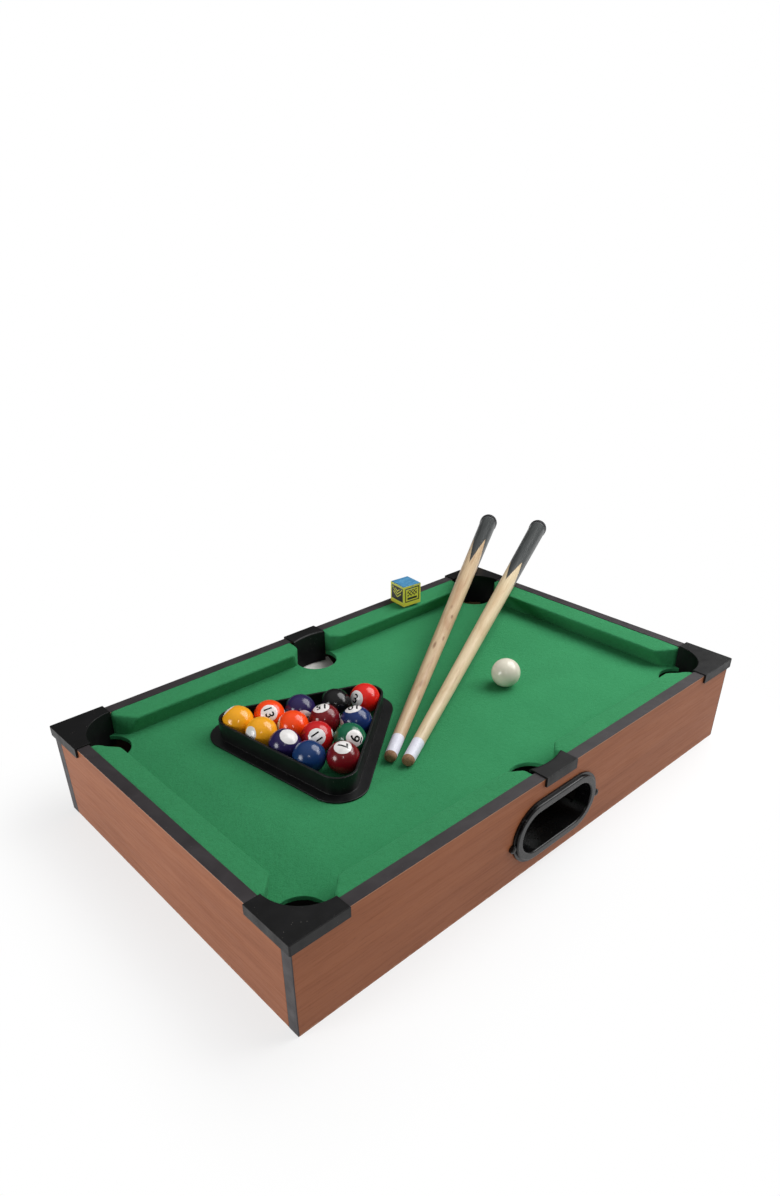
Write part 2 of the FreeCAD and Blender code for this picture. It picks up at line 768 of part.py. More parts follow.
def make_return_screws():
    """Two round-headed screws through the cup's ears into the front panel."""
    screws = []
    for side in (-1, 1):
        body = new_body("return_screw_%d" % (len(screws) + 1))
        profile = new_sketch(body, "XY_Plane", body.Name + "_profile")
        draw_outline(profile, [
            ("-Dims.screw_shank_length", "0"),
            ("-Dims.screw_shank_length", "Dims.screw_shank_radius"),
            ("Dims.ear_thick", "Dims.screw_shank_radius"),
            ("Dims.ear_thick", "Dims.screw_head_radius"),
            ("Dims.ear_thick + Dims.screw_head_thick / 2", "Dims.screw_head_radius"),
            ("Dims.ear_thick + Dims.screw_head_thick", "Dims.screw_head_radius / 2"),
            ("Dims.ear_thick + Dims.screw_head_thick", "0"),
        ])
        revolve(body, profile)
        spot = Vector(side * dim("ear_across"), -value(HALF_WIDTH), dim("ear_height"))
        body.Placement = Placement(spot, Rotation(Vector(0, 0, 1), -90))
        screws.append(body)
    group("ball_return_screws", screws)


# ---------------------------------------------------------------- inside the table


def make_base_board():
    corners = box_corners("-" + INNER_X, "-" + INNER_Y, INNER_X, INNER_Y)
    slab("base_board", corners, "0", "Dims.base_thick")


def sloping_board(label, plane, lift, width, points):
    """A board whose edge view is a slanted strip, extruded across its width."""
    body = new_body(label)
    sketch = new_sketch(body, plane, label + "_edge", lift)
    draw_outline(sketch, points)
    pad(body, sketch, width, backwards=True)
    return finish(body)


def strip(near, near_top, far, far_top):
    thick = "Dims.ramp_thick"
    return [
        (near, "(%s - %s)" % (near_top, thick)),
        (far, "(%s - %s)" % (far_top, thick)),
        (far, far_top),
        (near, near_top),
    ]


def make_ramps():
    """Side ramps fall towards the middle, and the centre ramp falls to the return cup."""
    for label, side in (("left_ramp", -1), ("right_ramp", 1)):
        points = strip("%d * %s" % (side, INNER_X), "Dims.ramp_high",
                       "%d * Dims.side_ramp_inner" % side, "Dims.ramp_low")
        sloping_board(label, "XZ_Plane", INNER_Y, "2 * %s" % INNER_Y, points)
    cup_back = "(Dims.tray_depth + Dims.edge_gap - %s)" % INNER_Y
    points = strip(cup_back, "Dims.centre_ramp_low", INNER_Y, "Dims.centre_ramp_high")
    half = "Dims.centre_ramp_half"
    sloping_board("centre_ramp", "YZ_Plane", half, "2 * " + half, points)
    points = strip("(%s - Dims.chute_run)" % INNER_Y, "Dims.chute_low", INNER_Y, "Dims.chute_high")
    half = "Dims.chute_half"
    sloping_board("rear_chute", "YZ_Plane", half, "2 * " + half, points)


def make_battens():
    """Battens glued round the inside, which carry the playing board."""
    battens = []
    spans = []
    for x_side in (-1, 1):
        for y_side in (-1, 1):
            spans.append(box_corners(
                "%d * Dims.batten_start" % x_side,
                "%d * %s" % (y_side, INNER_Y),
                "%d * Dims.batten_end" % x_side,
                "%d * (%s - Dims.batten_size)" % (y_side, INNER_Y),
            ))
        spans.append(box_corners(
            "%d * %s" % (x_side, INNER_X),
            "-Dims.end_batten_half",
            "%d * (%s - Dims.batten_size)" % (x_side, INNER_X),
            "Dims.end_batten_half",
        ))
    for corners in spans:
        body = new_body("batten_%d" % (len(battens) + 1))
        sketch = new_sketch(body, "XY_Plane", body.Name + "_outline", BOARD_BOTTOM)
        draw_outline(sketch, corners)
        pad(body, sketch, "Dims.batten_size", backwards=True)
        battens.append(body)
    group("playfield_battens", battens)


def make_corner_blocks():
    """Three-cornered glue blocks between the panels."""
    blocks = []
    leg = "Dims.corner_block_leg"
    for x_side in (-1, 1):
        for y_side in (-1, 1):
            body = new_body("corner_block_%d" % (len(blocks) + 1))
            sketch = new_sketch(body, "XY_Plane", body.Name + "_outline", "Dims.ramp_high")
            x = "%d * %s" % (x_side, INNER_X)
            y = "%d * %s" % (y_side, INNER_Y)
            draw_outline(sketch, [
                (x, y),
                ("%d * (%s - %s)" % (x_side, INNER_X, leg), y),
                (x, "%d * (%s - %s)" % (y_side, INNER_Y, leg)),
            ])
            pad(body, sketch, "Dims.corner_block_top - Dims.ramp_high")
            blocks.append(body)
    group("corner_blocks", blocks)


# ---------------------------------------------------------------- rack and balls


def rounded_triangle(apothem, radius):
    """An equilateral triangle about the origin with round corners, one side facing +X."""
    reach = "(sqrt(3) * (%s - %s))" % (apothem, radius)
    corners = []
    for cosine, sine in (("1", "0"), ("(-1 / 2)", "(sqrt(3) / 2)"), ("(-1 / 2)", "(-sqrt(3) / 2)")):
        low_x = "(%s * %s + %s * %s)" % (cosine, apothem, sine, reach)
        low_y = "(%s * %s - %s * %s)" % (sine, apothem, cosine, reach)
        high_x = "(%s * %s - %s * %s)" % (cosine, apothem, sine, reach)
        high_y = "(%s * %s + %s * %s)" % (sine, apothem, cosine, reach)
        corners.append((low_x, low_y))
        corners.append((high_x, high_y, radius, -1))
    return corners


def make_rack():
    """A three-sided wall with round corners on a flat outer flange."""
    body = new_body("rack")
    flange_top = dim("rack_flange_thick")
    foot = new_sketch(body, "XY_Plane", "rack_foot")
    draw_outline(foot, rounded_triangle("(Dims.rack_apothem + Dims.rack_flange)",
                                        "(Dims.rack_corner + Dims.rack_flange)"))
    pad(body, foot, "Dims.rack_flange_thick")
    wall = new_sketch(body, "XY_Plane", "rack_wall")
    draw_outline(wall, rounded_triangle("Dims.rack_apothem", "Dims.rack_corner"))
    pad(body, wall, "Dims.rack_height")
    inside = new_sketch(body, "XY_Plane", "rack_inside", "Dims.rack_height")
    draw_outline(inside, rounded_triangle("(Dims.rack_apothem - Dims.rack_wall)",
                                          "(Dims.rack_corner - Dims.rack_wall)"))
    last = pocket(body, inside, "Dims.rack_height")

    def is_outer_foot(edge):
        box = edge.BoundBox
        return abs(box.ZMin - flange_top) + box.ZLength < 1e-6 and outside_wall(edge)

    def outside_wall(edge):
        middle = edge.valueAt((edge.FirstParameter + edge.LastParameter) / 2)
        reach = 0
        for step in range(3):
            angle = math.radians(120 * step)
            reach = max(reach, middle.x * math.cos(angle) + middle.y * math.sin(angle))
        return reach > dim("rack_apothem") + 1

    fillet(body, last, SMALL_ROUND, is_outer_foot)
    height = dim("cloth_top") + dim("rest_gap")
    finish(body, turned(dim("rack_x"), dim("rack_y"), height, dim("rack_turn")))


def make_ball(label, x, y):
    ball = doc.addObject("Part::Sphere", label)
    ball.Label = label
    ball.setExpression("Radius", "Dims.ball_radius")
    height = dim("cloth_top") + dim("ball_radius") + dim("rest_gap")
    finish(ball, Placement(Vector(x, y, height), Rotation()))


def make_balls():
    """The cue ball, and the object balls at their places in the rack's own frame. One ball is
    missing, so the rest have settled loosely against the walls."""
    centre = Vector(dim("rack_x"), dim("rack_y"), 0)
    turn = Rotation(Vector(0, 0, 1), dim("rack_turn"))
    for label, out, along in BALL_PLACES:
        spot = centre + turn.multVec(Vector(out, along, 0))
        make_ball(label, spot.x, spot.y)
    make_ball("cue_ball", dim("cue_ball_x"), dim("cue_ball_y"))


# ---------------------------------------------------------------- cues


def cue_radius(distance):
    """The cue's radius at a distance from its tip, as an expression."""
    taper = "(Dims.cue_butt_radius - Dims.cue_tip_radius) / Dims.cue_length"
    return "(Dims.cue_tip_radius + %s * (%s))" % (taper, distance)


def turned_piece(label, start, end, placement, step="0", rounding=None):
    """A piece of the cue between two distances from the tip."""
    body = new_body(label)
    profile = new_sketch(body, "XY_Plane", label + "_profile")
    draw_outline(profile, [
        (start, "0"),
        (start, "%s + %s" % (cue_radius(start), step)),
        (end, "%s + %s" % (cue_radius(end), step)),
        (end, "0"),
    ])
    last = revolve(body, profile)
    if rounding:
        spot = value(rounding[0])

        def is_end_rim(edge):
            box = edge.BoundBox
            return abs(box.XMin - spot) + box.XLength < 1e-6

        fillet(body, last, rounding[1], is_end_rim)
    finish(body, placement)


def make_cue(name, placement):
    leather = "Dims.leather_length"
    ferrule = "(Dims.leather_length + Dims.ferrule_length)"
    bumper = "(Dims.cue_length - Dims.bumper_length)"
    turned_piece(name + "_tip", "0", leather, placement, rounding=("0", "3"))
    turned_piece(name + "_ferrule", leather, ferrule, placement)
    turned_piece(name + "_shaft", ferrule, bumper, placement)
    turned_piece(name + "_bumper", bumper, "Dims.cue_length", placement,
                 step="Dims.bumper_step", rounding=("Dims.cue_length", "4"))


def cue_placement(x, y, turn, rest_distance, rest_height):
    """Lay a cue with its tip on the cloth and its shaft on a rail at a distance from the tip."""
    low = dim("cloth_top") + dim("cue_tip_radius")
    high = rest_height + value(cue_radius(str(rest_distance)))
    tilt = math.degrees(math.atan2(high - low, rest_distance))
    start = Vector(x, y, low + dim("cue_gap"))
    level = Rotation(Vector(0, 0, 1), turn)
    return Placement(start, level.multiply(Rotation(Vector(0, 1, 0), -tilt)))


def make_cues():
    """One cue lies on the rear right corner cap, the other on the right end rail."""
    x, y, turn = dim("left_cue_x"), dim("left_cue_y"), dim("left_cue_turn")
    way = Vector(math.cos(math.radians(turn)), math.sin(math.radians(turn)), 0)
    bite = Vector(value(HALF_LENGTH) - dim("cap_leg"), value(HALF_WIDTH) - dim("cap_leg"), 0)
    tip = Vector(x, y, 0)
    nearest = (bite - tip).dot(way)
    miss = (bite - tip - way * nearest).Length
    to_cap = nearest + math.sqrt(dim("guard_radius") ** 2 - miss ** 2)
    cap_top = dim("rail_top") + dim("cap_plate")
    make_cue("left_cue", cue_placement(x, y, turn, to_cap, cap_top))

    x, y, turn = dim("right_cue_x"), dim("right_cue_y"), dim("right_cue_turn")
    to_rail = (value(INNER_X) - x) / math.cos(math.radians(turn))
    make_cue("right_cue", cue_placement(x, y, turn, to_rail, dim("rail_top")))


# ---------------------------------------------------------------- chalk


def centred_box(name, side, bottom, height):
    box = doc.addObject("Part::Box", name)
    for size in ("Length", "Width"):
        box.setExpression(size, side)
    box.setExpression("Height", height)
    box.setExpression("Placement.Base.x", "-(%s) / 2" % side)
    box.setExpression("Placement.Base.y", "-(%s) / 2" % side)
    box.setExpression("Placement.Base.z", bottom)
    return box


def make_chalk():
    """A cube of chalk with a worn hollow on top, in a paper sleeve."""
    place = turned(dim("chalk_x"), dim("chalk_y"), dim("rail_top") + dim("rest_gap"),
                   dim("chalk_turn"))
    inner_side = "(Dims.chalk_side - 2 * Dims.label_thick)"
    block = centred_box("chalk_cube", inner_side, "0", "Dims.chalk_height")
    hollow = doc.addObject("Part::Sphere", "chalk_hollow")
    hollow.setExpression("Radius", "Dims.chalk_dimple_radius")
    hollow.setExpression(
        "Placement.Base.z", "Dims.chalk_height + Dims.chalk_dimple_radius - Dims.chalk_dimple_depth"
    )
    chalk = doc.addObject("Part::Cut", "chalk_block")
    chalk.Label = "chalk_block"
    chalk.Base, chalk.Tool = block, hollow
    finish(chalk, place)

    outer = centred_box("label_outside", "Dims.chalk_side", "0", "Dims.label_top")
    inner = centred_box("label_inside", inner_side, "0", "Dims.label_top")
    label = doc.addObject("Part::Cut", "chalk_label")
    label.Label = "chalk_label"
    label.Base, label.Tool = outer, inner
    finish(label, place)


# ---------------------------------------------------------------- build, check and write


def check_document():
    """Stop on a failed object, an empty cut, or a sub-part that isn't a valid solid."""
    for thing in doc.Objects:
        if "Invalid" in thing.State or "Error" in thing.State:
            raise RuntimeError("%s failed: %s" % (thing.Name, thing.State))
        if thing.TypeId == "PartDesign::Pocket":
            removed = thing.BaseFeature.Shape.Volume - thing.Shape.Volume
            if removed < 0.01:
                raise RuntimeError("%s cuts nothing" % thing.Name)
    for part in sub_parts:
        if part.Shape.isNull() or not part.Shape.isValid():
            raise RuntimeError("%s has no valid shape" % part.Label)
        if not part.Shape.Solids:
            raise RuntimeError("%s has no solid" % part.Label)


def write_parts():
    os.makedirs("parts", exist_ok=True)
    for part in sub_parts:
        part.Shape.exportStep("parts/%s.step" % part.Label)
    print("%d sub-parts written" % len(sub_parts))


make_front_panel()
make_rear_panel()
make_end_panels()
make_top_bands()
make_corner_bands()
make_playing_sheet("playfield_board", BOARD_BOTTOM, "Dims.board_thick")
make_playing_sheet("playfield_cloth", BOARD_TOP, "Dims.cloth_thick")
make_cushions()
make_corner_caps()
make_middle_caps()
make_return_cup()
make_return_screws()
make_base_board()
make_ramps()
make_battens()
make_corner_blocks()
make_rack()
make_balls()
make_cues()
make_chalk()
doc.recompute()
check_document()
write_parts()
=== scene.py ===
import math

import bmesh
import bpy
from mathutils import Matrix, Vector, noise


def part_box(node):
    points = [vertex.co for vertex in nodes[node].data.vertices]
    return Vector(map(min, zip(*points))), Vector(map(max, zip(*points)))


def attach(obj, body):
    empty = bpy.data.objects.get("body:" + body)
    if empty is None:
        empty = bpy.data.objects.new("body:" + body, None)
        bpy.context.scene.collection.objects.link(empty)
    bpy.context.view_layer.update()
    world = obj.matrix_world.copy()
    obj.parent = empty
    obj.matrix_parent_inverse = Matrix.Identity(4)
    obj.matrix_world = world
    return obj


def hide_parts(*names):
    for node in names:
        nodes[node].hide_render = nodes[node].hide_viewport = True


# Mini pool table with its rack, balls, cues and chalk.

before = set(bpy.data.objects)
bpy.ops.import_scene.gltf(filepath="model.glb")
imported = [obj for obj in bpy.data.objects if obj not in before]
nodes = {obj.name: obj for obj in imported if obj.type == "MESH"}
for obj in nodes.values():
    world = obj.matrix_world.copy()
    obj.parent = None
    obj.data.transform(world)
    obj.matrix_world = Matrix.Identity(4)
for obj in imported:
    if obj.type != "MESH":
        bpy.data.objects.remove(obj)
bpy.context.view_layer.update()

MM = 0.001
PANEL_TOP = 82.2
FULL_TURNS = 8 * math.pi


def srgb(red, green, blue):
    """A colour given as a screen shows it, 0 to 255, as the linear colour that shaders take."""
    levels = []
    for level in (red, green, blue):
        c = level / 255.0
        levels.append(c / 12.92 if c <= 0.04045 else ((c + 0.055) / 1.055) ** 2.4)
    return (*levels, 1.0)


def facing(azimuth, elevation):
    """The direction that two angles in degrees give."""
    az, el = math.radians(azimuth), math.radians(elevation)
    return Vector((math.cos(az) * math.cos(el), math.sin(az) * math.cos(el), math.sin(el)))


# ---------------------------------------------------------------- node materials


class Paint:
    """A node material. Its textures follow the row frame, measured in millimetres."""

    def __init__(self, name):
        self.material = bpy.data.materials.new(name)
        self.material.use_nodes = True
        self.tree = self.material.node_tree
        self.shader = self.tree.nodes["Principled BSDF"]
        spot = self.node("TexCoord").outputs["Object"]
        self.here = self.node("VectorMath", {0: spot, "Scale": 1000.0}, operation="SCALE").outputs[0]

    def node(self, kind, inputs=None, **settings):
        made = self.tree.nodes.new("ShaderNode" + kind)
        for key, setting in settings.items():
            setattr(made, key, setting)
        for key, value in (inputs or {}).items():
            self.feed(made.inputs[key], value)
        return made

    def feed(self, socket, value):
        if isinstance(value, bpy.types.NodeSocket):
            self.tree.links.new(value, socket)
        else:
            socket.default_value = value

    def math(self, operation, a, b=0.0, c=0.0):
        return self.node("Math", {0: a, 1: b, 2: c}, operation=operation).outputs[0]

    def along(self, direction, origin=(0, 0, 0)):
        """How far a point lies along a direction from an origin, in millimetres."""
        offset = self.node("VectorMath", {0: self.here, 1: origin}, operation="SUBTRACT").outputs[0]
        dot = self.node("VectorMath", {0: offset, 1: direction}, operation="DOT_PRODUCT")
        return dot.outputs["Value"]

    def place(self, stretch=(1, 1, 1), turn=(0, 0, 0)):
        """The point after a turn and a stretch of the space."""
        made = self.node("Mapping", {"Vector": self.here, "Rotation": turn, "Scale": stretch})
        return made.outputs[0]

    def noise(self, size, detail=2.0, rough=0.5, where=None, warp=0.0):
        inputs = {"Vector": where or self.here, "Scale": 1.0 / size, "Detail": detail,
                  "Roughness": rough, "Distortion": warp}
        return self.node("TexNoise", inputs).outputs[0]

    def specks(self, size, radius):
        """Small round specks, 1 in each speck and 0 between them."""
        inputs = {"Vector": self.here, "Scale": 1.0 / size, "Randomness": 1.0}
        cells = self.node("TexVoronoi", inputs)
        return self.remap(cells.outputs["Distance"], radius, radius * 0.5)

    def remap(self, value, low, high, to_low=0.0, to_high=1.0, curve="LINEAR"):
        inputs = {"Value": value, "From Min": low, "From Max": high,
                  "To Min": to_low, "To Max": to_high}
        return self.node("MapRange", inputs, interpolation_type=curve).outputs["Result"]

    def mix(self, share, a, b, blend="MIX"):
        made = self.node("Mix", {0: share, 6: a, 7: b}, data_type="RGBA", blend_type=blend)
        return made.outputs[2]

    def bump(self, height, depth, under=None):
        """A bump as deep as depth, in millimetres, over another bump or none."""
        inputs = {"Height": height, "Distance": depth * MM}
        if under is not None:
            inputs["Normal"] = under
        return self.node("Bump", inputs).outputs["Normal"]

    def finish(self, colour, roughness, normal=None, **fixed):
        self.feed(self.shader.inputs["Base Color"], colour)
        self.feed(self.shader.inputs["Roughness"], roughness)
        if normal is not None:
            self.feed(self.shader.inputs["Normal"], normal)
        for key, value in fixed.items():
            self.shader.inputs[key.replace("_", " ").title().replace("Ior", "IOR")].default_value = value
        return self.material


def make_felt(name, dark, light):
    p = Paint(name)
    fibre = p.noise(0.75, detail=4.0, rough=0.7)
    nap = p.noise(3.2, detail=3.0, rough=0.6)
    cloudy = p.noise(48.0, detail=2.0)
    tone = p.mix(p.remap(fibre, 0.3, 0.7), dark, light)
    tone = p.mix(p.remap(nap, 0.35, 0.7, 0.0, 0.3), tone, srgb(64, 150, 102))
    tone = p.mix(p.remap(cloudy, 0.3, 0.7, 0.0, 0.2), tone, srgb(34, 112, 69))
    rough = p.remap(fibre, 0.3, 0.7, 0.82, 0.98)
    normal = p.bump(nap, 0.6, p.bump(fibre, 0.42))
    return p.finish(tone, rough, normal, sheen_weight=0.18, sheen_roughness=0.45,
                    sheen_tint=srgb(120, 225, 160), specular_ior_level=0.1)


def make_laminate(name, stretch, across, inner):
    """Printed wood foil with its grain drawn out along one axis, and bare board on the inner face."""
    p = Paint(name)
    broad = p.noise(13.0, detail=3.0, rough=0.55, where=p.place(stretch), warp=0.6)
    fine = p.noise(1.9, detail=4.0, rough=0.7, where=p.place(stretch))
    pores = p.noise(0.9, detail=2.0, rough=0.8, where=p.place(tuple(max(s, 0.12) for s in stretch)))
    patch = p.noise(90.0, detail=2.0)
    tone = p.mix(p.remap(broad, 0.3, 0.72), srgb(139, 82, 51), srgb(151, 91, 57))
    tone = p.mix(p.remap(fine, 0.46, 0.72, 0.0, 0.45), tone, srgb(114, 62, 37))
    tone = p.mix(p.remap(pores, 0.6, 0.72, 0.0, 0.35), tone, srgb(90, 47, 29))
    tone = p.mix(p.remap(patch, 0.35, 0.7, 0.0, 0.16), tone, srgb(172, 108, 74))
    bare = p.remap(p.math("ABSOLUTE", p.along(across)), inner + 0.3, inner)
    tone = p.mix(bare, tone, srgb(58, 42, 32))
    height = p.along((0, 0, 1))
    # the pale line along the top edge of the panels, just under the band, is a painted highlight
    trim = p.math("MULTIPLY", p.remap(height, PANEL_TOP - 0.65, PANEL_TOP - 0.3),
                  p.remap(height, PANEL_TOP + 0.05, PANEL_TOP - 0.2))
    tone = p.mix(p.math("MULTIPLY", trim, 0.5), tone, srgb(214, 170, 140))
    scuff = p.math("MULTIPLY", p.remap(height, 2.2, 0.6), p.remap(p.noise(5.0, 3.0), 0.45, 0.65))
    tone = p.mix(p.math("MULTIPLY", scuff, 0.55), tone, srgb(196, 160, 132))
    rough = p.remap(fine, 0.3, 0.7, 0.44, 0.56)
    normal = p.bump(p.noise(30.0, 2.0), 0.25, p.bump(fine, 0.05))
    return p.finish(tone, rough, normal, specular_ior_level=0.18)


def make_plastic(name, dark, light, rough, grain=0.9, dust=0.5, depth=0.03, **fixed):
    """Moulded plastic with a fine surface grain, faint flow marks and a little dust."""
    p = Paint(name)
    skin = p.noise(grain, detail=3.0, rough=0.65)
    flow = p.noise(22.0, detail=3.0, warp=0.8)
    tone = p.mix(p.remap(flow, 0.3, 0.7), dark, light)
    grit = p.math("MULTIPLY", p.specks(3.4, 0.07), p.remap(p.noise(16.0), 0.42, 0.6))
    tone = p.mix(p.math("MULTIPLY", grit, dust), tone, srgb(176, 172, 166))
    gloss = p.remap(p.noise(9.0, 3.0), 0.3, 0.7, rough * 0.85, rough * 1.2)
    normal = p.bump(flow, 0.12, p.bump(skin, depth))
    return p.finish(tone, gloss, normal, **fixed)


def make_board(name, dark, light, speck, size=1.2):
    """Pressed board or card: fine fibres in two tones with a few darker ones."""
    p = Paint(name)
    fibre = p.noise(size, detail=4.0, rough=0.7)
    cloud = p.noise(30.0, detail=2.0)
    tone = p.mix(p.remap(fibre, 0.3, 0.7), dark, light)
    tone = p.mix(p.remap(cloud, 0.35, 0.7, 0.0, 0.3), tone, dark)
    tone = p.mix(p.math("MULTIPLY", p.specks(size * 3.5, 0.14), 0.5), tone, speck)
    return p.finish(tone, p.remap(fibre, 0.3, 0.7, 0.6, 0.85), p.bump(fibre, 0.08))


def make_ball_paint(name, body, spot, cap=None, middle=(0, 0, 0)):
    """Glossy cast resin: a coloured ball with white number circles, and white ends if striped."""
    p = Paint(name)
    offset = p.node("VectorMath", {0: p.here, 1: tuple(middle)}, operation="SUBTRACT").outputs[0]
    outward = p.node("VectorMath", {0: offset}, operation="NORMALIZE").outputs[0]

    def nearness(direction):
        dot = p.node("VectorMath", {0: outward, 1: tuple(direction)}, operation="DOT_PRODUCT")
        return dot.outputs["Value"]

    wobble = p.remap(p.noise(2.4, 2.0), 0.3, 0.7, -0.004, 0.004)
    cloudy = p.noise(6.0, detail=3.0)
    colour = p.mix(p.remap(cloudy, 0.3, 0.7, 0.0, 0.16), body, tuple(c * 0.72 for c in body[:3]) + (1.0,))
    white = p.mix(p.remap(cloudy, 0.3, 0.7), srgb(228, 224, 222), srgb(244, 241, 240))
    if spot is not None:
        close = p.math("ADD", nearness(spot), wobble)
        circle = p.remap(close, math.cos(math.radians(32.2)), math.cos(math.radians(31.0)))
        colour = p.mix(circle, colour, white)
    if cap is not None:
        close = p.math("ADD", p.math("ABSOLUTE", nearness(facing(*cap[:2]))), wobble)
        end = p.remap(close, math.cos(math.radians(cap[2] + 0.7)), math.cos(math.radians(cap[2] - 0.7)))
        colour = p.mix(end, colour, white)
    smear = p.noise(4.5, detail=4.0, rough=0.65, warp=1.2)
    rough = p.remap(smear, 0.35, 0.75, 0.14, 0.27)
    dust = p.math("MULTIPLY", p.specks(2.1, 0.06), 0.3)
    colour = p.mix(dust, colour, srgb(190, 186, 180))
    normal = p.bump(smear, 0.015, p.bump(p.noise(7.0, 2.0), 0.05))
    return p.finish(colour, rough, normal, specular_ior_level=0.5)


# where the painted highlight ring on the cue's butt starts, in millimetres from the tip
RING_HIGHLIGHT_START = 483.0


def make_cue_paint(name, tip, axis, apex, valley, wood, knots):
    """A cue shaft: pale wood with its grain along it, run into by a dark painted splice."""
    p = Paint(name)
    side = axis.cross(Vector((0, 0, 1))).normalized()
    over = side.cross(axis).normalized()
    run = p.along(tuple(axis), tuple(tip))
    across = p.along(tuple(side), tuple(tip))
    above = p.along(tuple(over), tuple(tip))
    angle = p.math("ARCTAN2", across, above)
    grain_place = p.node("CombineXYZ", {0: p.math("MULTIPLY", run, 0.035), 1: across, 2: above}).outputs[0]
    long_place = p.node("CombineXYZ", {0: p.math("MULTIPLY", run, 0.11), 1: across, 2: above}).outputs[0]
    pale, warm, brown, streak = wood
    grain = p.noise(1.5, detail=4.0, rough=0.7, where=grain_place, warp=0.4)
    figure = p.noise(7.0, detail=3.0, rough=0.6, where=long_place, warp=1.0)
    pores = p.noise(0.55, detail=2.0, rough=0.8, where=long_place)
    tone = p.mix(p.remap(grain, 0.34, 0.68), pale, warm)
    tone = p.mix(p.remap(figure, 0.42, 0.74, 0.0, 0.75), tone, brown)
    tone = p.mix(p.remap(pores, 0.6, 0.74, 0.0, 0.45), tone, streak)
    for spot, bearing, length, width, strength in knots:
        reach = p.math("DIVIDE", p.math("SUBTRACT", run, spot), length)
        lean = side * math.sin(math.radians(bearing)) + over * math.cos(math.radians(bearing))
        cross = lean.cross(axis).normalized()
        off = p.math("DIVIDE", p.along(tuple(cross), tuple(tip)), width)
        front = p.remap(p.along(tuple(lean), tuple(tip)), 0.0, 2.0)
        gap = p.math("SQRT", p.math("ADD", p.math("MULTIPLY", reach, reach), p.math("MULTIPLY", off, off)))
        gap = p.math("ADD", gap, p.remap(grain, 0.3, 0.7, -0.25, 0.25))
        mark = p.math("MULTIPLY", p.remap(gap, 1.0, 0.35), front)
        tone = p.mix(p.math("MULTIPLY", mark, strength), tone, streak)
    turned = p.math("ADD", angle, FULL_TURNS)
    wave = p.math("DIVIDE", p.math("PINGPONG", turned, math.pi / 4), math.pi / 4)
    edge = p.math("MULTIPLY_ADD", wave, valley - apex, apex)
    edge = p.math("ADD", edge, p.remap(p.noise(1.6, 2.0), 0.3, 0.7, -0.6, 0.6))
    past = p.math("SUBTRACT", run, edge)
    painted = p.remap(past, -0.5, 0.5)
    soot = p.remap(past, -7.0, 0.0, 0.0, 0.35)
    tone = p.mix(soot, tone, srgb(120, 92, 70))
    coatings = p.mix(p.remap(figure, 0.3, 0.7), srgb(48, 51, 51), srgb(60, 63, 63))
    coatings = p.mix(p.remap(grain, 0.5, 0.75, 0.0, 0.5), coatings, srgb(78, 81, 80))
    # a thin pale ring on the dark butt paint near the bumper: a painted highlight
    ring_highlight = p.math("MULTIPLY", p.remap(run, RING_HIGHLIGHT_START, RING_HIGHLIGHT_START + 0.3),
                  p.remap(run, RING_HIGHLIGHT_START + 1.3, RING_HIGHLIGHT_START + 1.0))
    coatings = p.mix(p.math("MULTIPLY", ring_highlight, 0.6), coatings, srgb(150, 150, 152))
    tone = p.mix(painted, tone, coatings)
    rough = p.remap(grain, 0.3, 0.7, 0.36, 0.52)
    normal = p.bump(painted, 0.05, p.bump(grain, 0.06))
    return p.finish(tone, rough, normal, coat_weight=0.12, coat_roughness=0.3)


def make_chalk_paint():
    p = Paint("chalk_blue")
    grit = p.noise(0.7, detail=4.0, rough=0.75)
    worn = p.noise(5.0, detail=3.0)
    tone = p.mix(p.remap(grit, 0.3, 0.7), srgb(52, 110, 154), srgb(84, 148, 188))
    tone = p.mix(p.remap(worn, 0.4, 0.7, 0.0, 0.5), tone, srgb(104, 166, 202))
    cast = p.math("MULTIPLY", p.specks(1.6, 0.16), 0.5)
    tone = p.mix(cast, tone, srgb(36, 84, 124))
    normal = p.bump(worn, 0.3, p.bump(grit, 0.22))
    return p.finish(tone, 0.95, normal, specular_ior_level=0.15)


